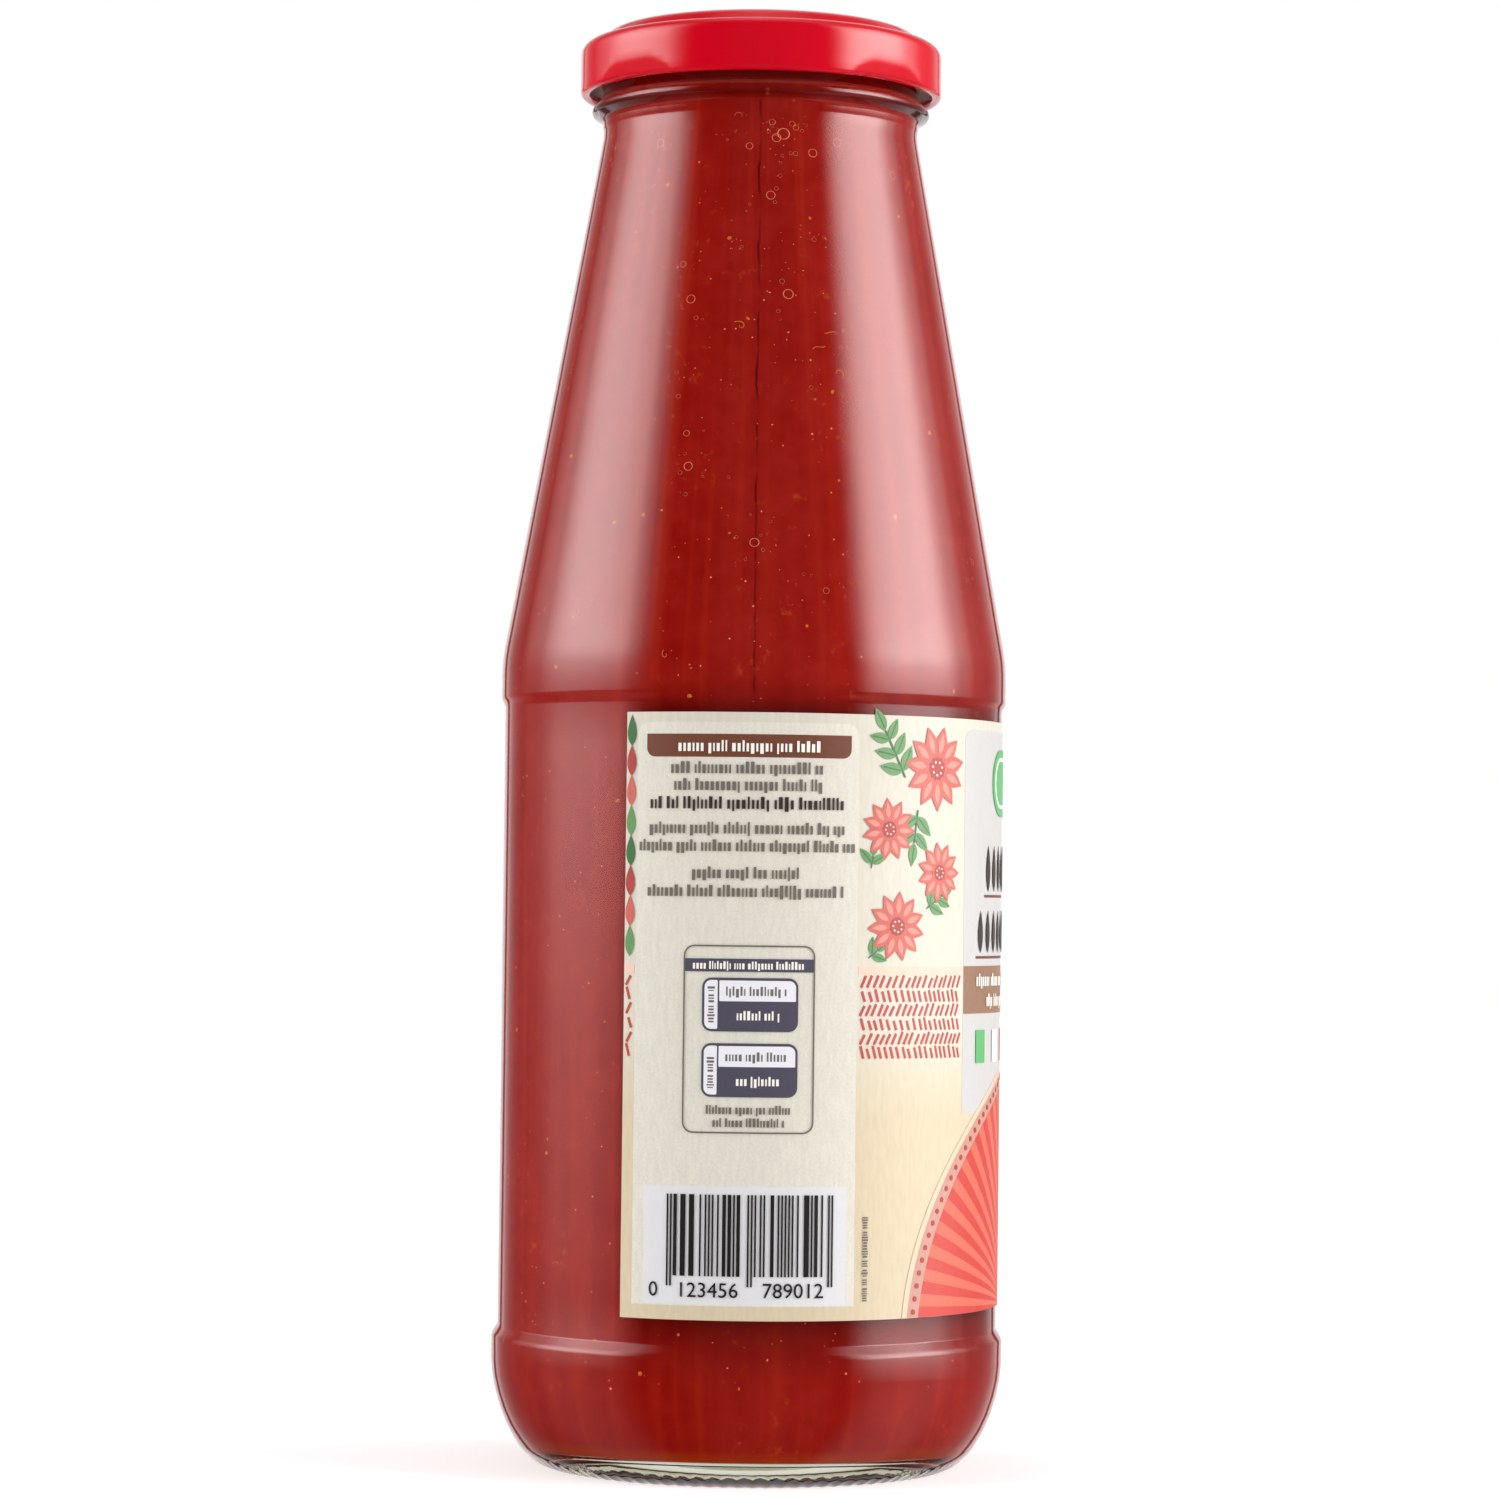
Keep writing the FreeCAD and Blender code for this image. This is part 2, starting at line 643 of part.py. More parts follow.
def main():
    document = FreeCAD.newDocument("tomato_pulp_bottle")
    write_sheet(document)
    by = Lengths()
    makers = (make_bottle, make_pulp, make_cap, make_seal, make_label)
    bodies = [maker(document, by) for maker in makers]
    document.recompute()
    check(document, bodies)
    os.makedirs("parts", exist_ok=True)
    for body in bodies:
        body.Shape.exportStep(f"parts/{body.Label}.step")


main()
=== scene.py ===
"""A glass bottle of tomato pulp with a twist-off cap and a paper label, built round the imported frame."""

import logging
import math
import random
from collections.abc import Callable, Iterable, Sequence
from dataclasses import dataclass, field
from enum import Enum
from typing import Any

import bmesh
import bpy
from bmesh.types import BMesh, BMVert
from mathutils import Matrix, Vector, noise


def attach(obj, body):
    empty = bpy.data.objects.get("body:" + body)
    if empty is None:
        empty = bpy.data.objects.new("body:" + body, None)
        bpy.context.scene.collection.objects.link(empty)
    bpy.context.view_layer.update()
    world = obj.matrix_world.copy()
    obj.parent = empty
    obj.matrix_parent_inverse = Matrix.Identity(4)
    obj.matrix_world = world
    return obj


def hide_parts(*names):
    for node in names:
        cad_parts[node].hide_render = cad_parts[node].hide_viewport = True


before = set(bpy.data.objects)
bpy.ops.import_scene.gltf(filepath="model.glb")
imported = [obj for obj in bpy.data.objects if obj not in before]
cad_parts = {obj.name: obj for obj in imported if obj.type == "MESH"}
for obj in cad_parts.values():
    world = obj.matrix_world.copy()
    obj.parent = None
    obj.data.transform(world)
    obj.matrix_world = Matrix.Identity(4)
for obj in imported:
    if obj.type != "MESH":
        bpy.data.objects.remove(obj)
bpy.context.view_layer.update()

LOG = logging.getLogger("bottle")
MM = 0.001
FIBRE_SCALE = (150.0, 30.0, 1.0)
BODY = "root"
ROUND_STEPS = 360
SHARP_ANGLE = math.radians(50)

Point = tuple[float, float]
Colour = tuple[float, float, float]
Sides = tuple[float, float, float, float]


def linear(red: int, green: int, blue: int) -> Colour:
    """A colour for a shader from a swatch.

    Args:
        red: Red of the swatch, 0 to 255.
        green: Green of the swatch, 0 to 255.
        blue: Blue of the swatch, 0 to 255.

    Returns:
        The same colour in linear light.
    """

    def channel(value: float) -> float:
        """One channel in linear light."""
        return value / 12.92 if value <= 0.04045 else ((value + 0.055) / 1.055) ** 2.4

    return channel(red / 255), channel(green / 255), channel(blue / 255)


def smooth(value: float) -> float:
    """A soft step: 0 up to 0, 1 from 1, with level ends."""
    held = min(max(value, 0.0), 1.0)
    return held * held * (3 - 2 * held)


def heading(angle: float) -> Vector:
    """A flat unit vector at an angle in radians."""
    return Vector((math.cos(angle), math.sin(angle)))


# ---------------------------------------------------------------- finishes


class Tree:
    """A material's or the world's nodes, added by short calls."""

    def __init__(self, owner: bpy.types.ID, output: str) -> None:
        """Clears the owner's nodes and adds its output.

        Args:
            owner: The material or world.
            output: Type of its output node, without ShaderNode.
        """
        owner.use_nodes = True
        self.tree = owner.node_tree
        self.tree.nodes.clear()
        self.output = self.add(output)

    def add(self, kind: str, inputs: dict[Any, Any] | None = None, **settings: Any) -> Any:
        """Adds a node.

        Args:
            kind: Its type, without ShaderNode.
            inputs: What goes in each input, by name or number: a value, or another node's output.
            **settings: Its properties.

        Returns:
            The node.
        """
        node = self.tree.nodes.new(f"ShaderNode{kind}")
        for name, value in settings.items():
            setattr(node, name, value)
        for name, value in (inputs or {}).items():
            if isinstance(value, bpy.types.NodeSocket):
                self.tree.links.new(value, node.inputs[name])
            elif isinstance(value, tuple) and len(value) == 3 and node.inputs[name].type == "RGBA":
                node.inputs[name].default_value = (*value, 1.0)
            else:
                node.inputs[name].default_value = value
        return node

    def surface(self, shader: Any) -> None:
        """Joins a shader to the output."""
        self.tree.links.new(shader, self.output.inputs["Surface"])

    def coat(self, colour: Any, roughness: Any, gloss: float = 0.5, normal: Any = None) -> Any:
        """An opaque coat.

        Args:
            colour: Its colour.
            roughness: Its roughness.
            gloss: How strongly it reflects head on.
            normal: The direction that its surface faces, where a bump changes it.

        Returns:
            The shader's output.
        """
        inputs = {"Base Color": colour, "Roughness": roughness, "Specular IOR Level": gloss}
        if normal is not None:
            inputs["Normal"] = normal
        return self.add("BsdfPrincipled", inputs).outputs[0]

    def bump(self, height: Any, strength: float, distance: float) -> Any:
        """The normal that a bump gives.

        Args:
            height: The grey that it follows.
            strength: How much of it shows.
            distance: How high white stands over black.

        Returns:
            The normal's output.
        """
        inputs = {"Height": height, "Strength": strength, "Distance": distance}
        return self.add("Bump", inputs).outputs[0]

    def place(self) -> Any:
        """The place on the object, in metres."""
        return self.add("TexCoord").outputs["Object"]

    def stretched(self, place: Any, scale: tuple[float, float, float], detail: float) -> Any:
        """The grey of a noise that is finer one way than another.

        Args:
            place: Where it is read.
            scale: How fine it is along each axis.
            detail: How many finer layers it has.

        Returns:
            The grey output.
        """
        scaled = self.add("Mapping", {"Vector": place, "Scale": scale}).outputs[0]
        return self.noise(scaled, 1.0, detail)

    def math(self, operation: str, *values: Any) -> Any:
        """The output of a Math node."""
        return self.add("Math", dict(enumerate(values)), operation=operation).outputs[0]

    def noise(self, place: Any, scale: float, detail: float, roughness: float = 0.5) -> Any:
        """The grey of a noise.

        Args:
            place: Where it is read.
            scale: How fine it is.
            detail: How many finer layers it has.
            roughness: How strong they are.

        Returns:
            The grey output.
        """
        inputs = {"Vector": place, "Scale": scale, "Detail": detail, "Roughness": roughness}
        return self.add("TexNoise", inputs).outputs[0]

    def fade(self, value: Any, start: float, end: float, high: float = 1.0, **settings: Any) -> Any:
        """A fade from 0 at the start to its full height at the end.

        Args:
            value: What it follows.
            start: Where it is 0.
            end: Where it is full.
            high: Its full height.
            **settings: The node's other properties.

        Returns:
            The fade's output.
        """
        inputs = {"Value": value, "From Min": start, "From Max": end, "To Max": high}
        return self.add("MapRange", inputs, **settings).outputs[0]

    def ramp(self, value: Any, stops: Sequence[tuple[float, float]]) -> Any:
        """The output of a grey ramp through the stops.

        Args:
            value: The factor, 0 to 1.
            stops: Place and grey of each stop, in order.

        Returns:
            The ramp's colour output.
        """
        return self.colours(value, [(place, (grey, grey, grey)) for place, grey in stops])

    def colours(self, value: Any, stops: Sequence[tuple[float, Colour]]) -> Any:
        """The output of a colour ramp.

        Args:
            value: The factor, 0 to 1.
            stops: Place and colour of each stop, in order.

        Returns:
            The ramp's colour output.
        """
        node = self.add("ValToRGB", {"Fac": value})
        elements = node.color_ramp.elements
        while len(elements) < len(stops):
            elements.new(0.5)
        for element, (place, colour) in zip(elements, stops):
            element.position = place
            element.color = (*colour, 1.0)
        return node.outputs["Color"]

    def mix(self, factor: Any, first: Any, second: Any, blend: str = "MIX") -> Any:
        """The colour output of a mix of two colours.

        Args:
            factor: How much of the second.
            first: The first colour.
            second: The second colour.
            blend: The kind of mix.

        Returns:
            The mixed colour.
        """
        node = self.add("Mix", data_type="RGBA", blend_type=blend)
        for name, value in (("Factor", factor), ("A", first), ("B", second)):
            kind = "VALUE" if name == "Factor" else "RGBA"
            socket = next(s for s in node.inputs if s.name == name and s.type == kind)
            if isinstance(value, bpy.types.NodeSocket):
                self.tree.links.new(value, socket)
            else:
                socket.default_value = (*value, 1.0) if isinstance(value, tuple) else value
        return next(s for s in node.outputs if s.type == "RGBA")

    def shader_mix(self, factor: Any, first: Any, second: Any) -> Any:
        """The output of a Mix Shader."""
        return self.add("MixShader", {0: factor, 1: first, 2: second}).outputs[0]


def blank(name: str) -> tuple[bpy.types.Material, Tree]:
    """An empty material and its nodes."""
    material = bpy.data.materials.new(name)
    return material, Tree(material, "OutputMaterial")


@dataclass(frozen=True)
class ClearGlass:
    """Flint glass: colourless, with the soft waves of a blown wall."""

    name: str = "clear_glass"
    tint: Colour = (0.985, 0.995, 0.985)
    shine: Colour = (1.0, 0.88, 0.87)
    bend: float = 1.52
    wave_height: float = 0.00003
    wave_strength: float = 0.35
    wave_scale: tuple[float, float, float] = (90.0, 90.0, 14.0)

    def material(self) -> bpy.types.Material:
        """The glass, which lets lamps through to what it holds.

        Returns:
            The new material.
        """
        material, tree = blank(self.name)
        waves = tree.stretched(tree.place(), self.wave_scale, 2.0)
        normal = tree.bump(waves, self.wave_strength, self.wave_height)
        glass = tree.add(
            "BsdfPrincipled",
            {
                "Base Color": self.tint,
                "Roughness": 0.0,
                "IOR": self.bend,
                "Transmission Weight": 1.0,
                "Specular Tint": self.shine,
                "Normal": normal,
            },
        ).outputs[0]
        open_way = tree.add("BsdfTransparent").outputs[0]
        path = tree.add("LightPath")
        lit = tree.shader_mix(path.outputs["Is Shadow Ray"], glass, open_way)
        both = tree.shader_mix(path.outputs["Is Diffuse Ray"], lit, open_way)
        tree.surface(both)
        return material


@dataclass(frozen=True)
class TomatoPulp:
    """Crushed tomato pressed against the glass: deep red with paler flesh and orange flecks."""

    name: str = "tomato_pulp"
    deep: Colour = linear(134, 15, 9)
    flesh: Colour = linear(148, 27, 20)
    fleck: Colour = linear(186, 82, 20)
    streak: Colour = linear(160, 38, 8)
    # painted light: low is the brighter orange of the pulp's foot, lit from below through the base
    low: Colour = linear(178, 74, 14)
    # painted shade: high is the darker red of the pulp under the cap
    high: Colour = linear(96, 6, 3)
    clouds: Point = (95.0, 5.0)
    grain: tuple[float, float, float] = (620.0, 3.0, 0.6)
    fine: Point = (330.0, 4.0)
    streaks: tuple[float, float, float] = (13.0, 1.0, 9.0)
    flesh_fade: tuple[Point, ...] = ((0.38, 0.0), (0.62, 1.0))
    streak_fade: tuple[Point, ...] = ((0.50, 0.0), (0.72, 0.34))
    fleck_fade: tuple[Point, ...] = ((0.60, 0.0), (0.74, 1.0))
    patch_fade: tuple[Point, ...] = ((0.50, 0.0), (0.66, 0.55))
    seam_fade: tuple[Point, ...] = ((0.42, 0.12), (0.58, 0.7))
    roughness: float = 0.6
    # painted shade: the dark line that each mould seam throws on the pulp
    seam_shade: Colour = (0.05, 0.0, 0.0)
    seam_half_width: float = 0.00016
    seam_wander: float = 0.0006
    seam_foot: float = 0.118
    foot_light_from: float = 0.0066
    foot_light_full: float = 0.0036
    foot_light_share: float = 0.8
    cap_shade_from: float = 0.2095
    cap_shade_full: float = 0.2115
    mirror_colour: Colour = (0.75, 0.75, 0.65)
    mirror_from: float = 0.5
    mirror_to: float = 0.58
    mirror_top: float = 0.009
    # painted shade beside the label: its colour, strength and reach
    label_shade_colour: Colour = (0.03, 0.002, 0.002)
    label_foot: float = 0.0255
    label_top: float = 0.1151
    label_shade: float = 0.45
    shade_above: float = 0.0055
    shade_below: float = 0.012
    bare_middle: float = math.radians(-74)
    bare_half: float = math.radians(45)
    bare_edge: float = math.radians(4)

    def beside_label(self, tree: Tree, turn: Any, up: Any) -> Any:
        """How much painted shade the pulp gets just above and below the paper label, where the label keeps
        the light off it.

        Args:
            tree: The pulp's nodes.
            turn: Turn about the axis, from the front.
            up: Height.

        Returns:
            The share of shade.
        """
        soft = {"high": self.label_shade, "interpolation_type": "SMOOTHSTEP"}
        above = tree.fade(up, self.label_top + self.shade_above, self.label_top, **soft)
        below = tree.fade(up, self.label_foot - self.shade_below, self.label_foot, **soft)
        off = tree.math("ABSOLUTE", tree.math("SUBTRACT", turn, self.bare_middle))
        ends = (self.bare_half - self.bare_edge, self.bare_half + self.bare_edge)
        covered = tree.fade(off, *ends)
        return tree.math("MULTIPLY", tree.math("MINIMUM", above, below), covered)

    def material(self) -> bpy.types.Material:
        """The pulp, with painted shade and light in its colour: the thin shades that the glass's two mould
        seams throw on it, shade just above and below the label, shade under the cap and light on its foot.

        Returns:
            The new material.
        """
        material, tree = blank(self.name)
        place = tree.place()
        clouds = tree.noise(place, *self.clouds)
        grain = tree.noise(place, *self.grain)
        fine = tree.noise(place, *self.fine)
        parts = tree.add("SeparateXYZ", {"Vector": place}).outputs
        turn = tree.math("ARCTAN2", parts["X"], tree.math("MULTIPLY", parts["Y"], -1.0))
        rolled = tree.add("CombineXYZ", {"X": turn, "Z": parts["Z"]}).outputs[0]
        streaks = tree.stretched(rolled, self.streaks, 3.0)
        mixed = tree.math("ADD", tree.math("ADD", clouds, fine), streaks)
        soft = tree.ramp(tree.math("MULTIPLY", mixed, 1 / 3), self.flesh_fade)
        body = tree.mix(soft, self.deep, self.flesh)
        glow = tree.ramp(streaks, self.streak_fade)
        body = tree.mix(glow, body, self.streak)
        specks = tree.ramp(grain, self.fleck_fade)
        patches = tree.ramp(clouds, self.patch_fade)
        amount = tree.mix(1.0, specks, patches, "MULTIPLY")
        coloured = tree.mix(amount, body, self.fleck)
        # Painted shade: a thin, broken dark line down each mould seam, drawn into the pulp's colour.
        low = tree.add("CombineXYZ", {"Z": parts["Z"]}).outputs[0]
        wander = tree.noise(low, 160.0, 2.0)
        shift = tree.math("MULTIPLY", tree.math("SUBTRACT", wander, 0.5), self.seam_wander * 2)
        off = tree.math("ABSOLUTE", tree.math("ADD", parts["X"], shift))
        on_seam = tree.math("LESS_THAN", off, self.seam_half_width)
        above = tree.math("GREATER_THAN", parts["Z"], self.seam_foot)
        faint = tree.ramp(wander, self.seam_fade)
        line = tree.math("MULTIPLY", tree.math("MULTIPLY", on_seam, above), faint)
        lined = tree.mix(line, coloured, self.seam_shade)
        # Painted shade: the pulp darkens just above and below the label, where the label keeps light off
        # it.
        shade = self.beside_label(tree, turn, parts["Z"])
        lined = tree.mix(shade, lined, self.label_shade_colour)
        # Painted light: towards its foot the pulp turns brighter and more orange, as if lit from below.
        foot = tree.fade(parts["Z"], self.foot_light_from, self.foot_light_full, self.foot_light_share)
        warm = tree.mix(foot, lined, self.low)
        # Painted shade: the pulp darkens towards the top of the neck, under the cap's overhang.
        neck = tree.fade(parts["Z"], self.cap_shade_from, self.cap_shade_full)
        shaded = tree.mix(neck, warm, self.high)
        pulp = tree.coat(shaded, self.roughness, 0.0)
        clear = tree.add("BsdfGlossy", {"Color": self.mirror_colour, "Roughness": 0.0})
        slant = tree.add("LayerWeight", {"Blend": 0.5}).outputs["Facing"]
        share = tree.fade(slant, self.mirror_from, self.mirror_to)
        below = tree.math("LESS_THAN", parts["Z"], self.mirror_top)
        mirror = tree.math("MULTIPLY", share, below)
        wet = tree.shader_mix(mirror, pulp, clear.outputs[0])
        tree.surface(wet)
        return material


@dataclass(frozen=True)
class Lacquer:
    """Glossy lacquer on tinplate, a little uneven where the metal was drawn."""

    name: str
    colour: Colour
    roughness: float = 0.13
    gloss: float = 0.45
    bump: float = 0.00001
    bump_strength: float = 0.25
    shade: float = 0.93
    unevenness: float = 0.15

    def material(self) -> bpy.types.Material:
        """The lacquer with its slight orange peel.

        Returns:
            The new material.
        """
        material, tree = blank(self.name)
        place = tree.place()
        peel = tree.noise(place, 900.0, 2.0)
        tone = tree.noise(place, 60.0, 3.0)
        darker = tuple(self.shade * c for c in self.colour)
        colour = tree.mix(tree.ramp(tone, [(0.3, 0.0), (0.7, 1.0)]), self.colour, darker)
        spread = self.roughness * self.unevenness
        ends = {"To Min": self.roughness - spread, "To Max": self.roughness + spread}
        rough = tree.add("MapRange", {"Value": tone, **ends}).outputs[0]
        normal = tree.bump(peel, self.bump_strength, self.bump)
        tree.surface(tree.coat(colour, rough, self.gloss, normal))
        return material


@dataclass(frozen=True)
class Rubber:
    """The cap's sealing compound: off-white, dull and slightly grained."""

    name: str = "seal_compound"
    colour: Colour = linear(222, 214, 198)
    roughness: float = 0.55

    def material(self) -> bpy.types.Material:
        """The compound with its fine grain.

        Returns:
            The new material.
        """
        material, tree = blank(self.name)
        place = tree.place()
        grain = tree.noise(place, 1500.0, 2.0)
        colour = tree.mix(grain, self.colour, tuple(0.85 * c for c in self.colour))
        tree.surface(tree.coat(colour, self.roughness))
        return material


@dataclass(frozen=True)
class Ink:
    """A colour printed on coated paper, with the paper's fibres showing in it."""

    name: str
    colour: Colour
    fibre: float = 0.05
    fibre_share: float = 2.2
    fibre_height: float = 0.00001
    roughness: float = 0.42

    def material(self) -> bpy.types.Material:
        """The ink. Its fibres run up the label, on the unrolled label's own map.

        Returns:
            The new material.
        """
        material, tree = blank(self.name)
        place = tree.add("UVMap", uv_map=Print.MAP).outputs[0]
        fibres = tree.stretched(place, FIBRE_SCALE, 4.0)
        fine = tree.noise(place, 260.0, 3.0)
        both = tree.math("MULTIPLY", tree.math("ADD", fibres, fine), 0.5)
        share = tree.ramp(both, [(0.38, 0.0), (0.62, 1.0)])
        dim = tuple(c * (1 - self.fibre_share * self.fibre) for c in self.colour)
        colour = tree.mix(share, dim, self.colour)
        normal = tree.bump(both, 0.3, self.fibre_height)
        tree.surface(tree.coat(colour, self.roughness, normal=normal))
        return material


@dataclass(frozen=True)
class Paper:
    """The label's own paper: cream, lighter across its middle, with long fine fibres."""

    name: str = "label_paper"
    foot: Colour = linear(214, 197, 166)
    middle: Colour = linear(218, 211, 195)
    top: Colour = linear(215, 208, 192)
    fade_low: float = 0.30
    fade_high: float = 0.44
    fade_top: float = 0.85
    fibre_height: float = 0.00001
    roughness: float = 0.45

    def material(self) -> bpy.types.Material:
        """The paper, shaded by height on the unrolled label's own map.

        Returns:
            The new material.
        """
        material, tree = blank(self.name)
        place = tree.add("UVMap", uv_map=Print.MAP).outputs[0]
        high = tree.add("SeparateXYZ", {"Vector": place}).outputs["Y"]
        places = (self.fade_low, self.fade_high, self.fade_top)
        tone = tree.colours(high, list(zip(places, (self.foot, self.middle, self.top))))
        fibres = tree.stretched(place, FIBRE_SCALE, 4.0)
        share = tree.ramp(fibres, [(0.35, 0.94), (0.62, 1.0)])
        colour = tree.mix(1.0, tone, share, "MULTIPLY")
        normal = tree.bump(fibres, 0.3, self.fibre_height)
        tree.surface(tree.coat(colour, self.roughness, normal=normal))
        return material


@dataclass(frozen=True)
class Flesh:
    """Small bits held in the pulp: seeds and fibres, and the rims of bubbles, painted pale as the light
    that their edges reflect.
    """

    name: str
    colour: Colour
    shade: Colour

    def material(self) -> bpy.types.Material:
        """The bit's two tones.

        Returns:
            The new material.
        """
        material, tree = blank(self.name)
        place = tree.place()
        tone = tree.noise(place, 700.0, 2.0)
        colour = tree.mix(tone, self.colour, self.shade)
        tree.surface(tree.coat(colour, 0.5, 0.0))
        return material


# ---------------------------------------------------------------- mesh tools


@dataclass(frozen=True)
class Corner:
    """A corner of a turned outline, in millimetres: distance from the axis, height, rounding."""

    across: float
    up: float
    rounding: float = 0.0


def rounded(bm: BMesh, vert: BMVert, offset: float, segments: int) -> None:
    """Rounds one corner of an outline or a flat shape.

    Args:
        bm: Its mesh.
        vert: The corner.
        offset: Where the rounding starts, along both sides.
        segments: Steps of the rounding.
    """
    bmesh.ops.bevel(
        bm,
        geom=[vert],
        offset=offset,
        offset_type="OFFSET",
        affect="VERTICES",
        segments=segments,
        profile=0.5,
        material=-1,
    )


def spun(bm: BMesh, steps: int) -> None:
    """Turns an outline once round the upright axis.

    Args:
        bm: Holds the outline.
        steps: Steps round the axis.
    """
    bmesh.ops.spin(
        bm,
        geom=bm.verts[:] + bm.edges[:],
        cent=(0, 0, 0),
        axis=(0, 0, 1),
        angle=math.tau,
        steps=steps,
        use_merge=True,
    )


def wire(corners: Sequence[Corner], closed: bool, arc_step: float, run: float) -> BMesh:
    """An outline through the corners in the plane of X and Z, with arcs and even runs.

    Args:
        corners: The corners in order.
        closed: Whether the last one joins the first.
        arc_step: Most degrees that one piece of an arc turns.
        run: Longest straight piece.

    Returns:
        The outline as a bmesh of edges.
    """
    bm = bmesh.new()
    spots = [Vector((c.across, 0.0, c.up)) for c in corners]
    verts = [bm.verts.new(spot) for spot in spots]
    pairs = list(zip(verts, verts[1:]))
    if closed:
        pairs.append((verts[-1], verts[0]))
    for pair in pairs:
        bm.edges.new(pair)
    count = len(corners)
    for index, corner in enumerate(corners):
        if corner.rounding <= 0:
            continue
        came = (spots[index] - spots[index - 1]).normalized()
        goes = (spots[(index + 1) % count] - spots[index]).normalized()
        turn = came.angle(goes)
        steps = max(2, math.ceil(math.degrees(turn) / arc_step))
        rounded(bm, verts[index], corner.rounding * math.tan(turn / 2), steps)
    for edge in list(bm.edges):
        cuts = math.ceil(edge.calc_length() / run) - 1
        if cuts > 0:
            bmesh.ops.subdivide_edges(bm, edges=[edge], cuts=cuts)
    return bm


def turned(
    corners: Sequence[Corner],
    closed: bool = False,
    steps: int = ROUND_STEPS,
    arc_step: float = 8.0,
    run: float = 6.0,
) -> BMesh:
    """A form turned about the upright axis.

    Args:
        corners: Its outline.
        closed: Whether the outline closes on itself away from the axis.
        steps: Faces round it.
        arc_step: Most degrees that one face turns in the outline.
        run: Longest face in the outline.

    Returns:
        The closed form, in millimetres.
    """
    bm = wire(corners, closed, arc_step, run)
    spun(bm, steps)
    bmesh.ops.remove_doubles(bm, verts=bm.verts, dist=0.0005)
    bmesh.ops.recalc_face_normals(bm, faces=bm.faces)
    return bm


def shifted(bm: BMesh, move: Callable[[float, float, float], tuple[float, float]]) -> None:
    """Moves each vertex of a turned form out and up.

    Args:
        bm: The form.
        move: Gives the shift out and up for a distance from the axis, a direction and a height.
    """
    for vert in bm.verts:
        across = math.hypot(vert.co.x, vert.co.y)
        if across < 1e-6:
            continue
        out, up = move(across, math.degrees(math.atan2(vert.co.y, vert.co.x)), vert.co.z)
        vert.co.x *= 1 + out / across
        vert.co.y *= 1 + out / across
        vert.co.z += up


def finished(name: str, bm: BMesh, material: bpy.types.Material) -> bpy.types.Object:
    """Makes a piece of the object from its mesh.

    Args:
        name: The piece's name.
        bm: Its mesh in millimetres, which is freed.
        material: Its material.

    Returns:
        The piece, riding on the body.
    """
    bmesh.ops.scale(bm, vec=(MM, MM, MM), verts=bm.verts)
    for face in bm.faces:
        face.smooth = True
    mesh = bpy.data.meshes.new(name)
    bm.to_mesh(mesh)
    bm.free()
    mesh.set_sharp_from_angle(angle=SHARP_ANGLE)
    mesh.materials.append(material)
    piece = bpy.data.objects.new(name, mesh)
    bpy.context.scene.collection.objects.link(piece)
    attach(piece, BODY)
    LOG.info("%s: %d faces", name, len(mesh.polygons))
    return piece


# ---------------------------------------------------------------- glass


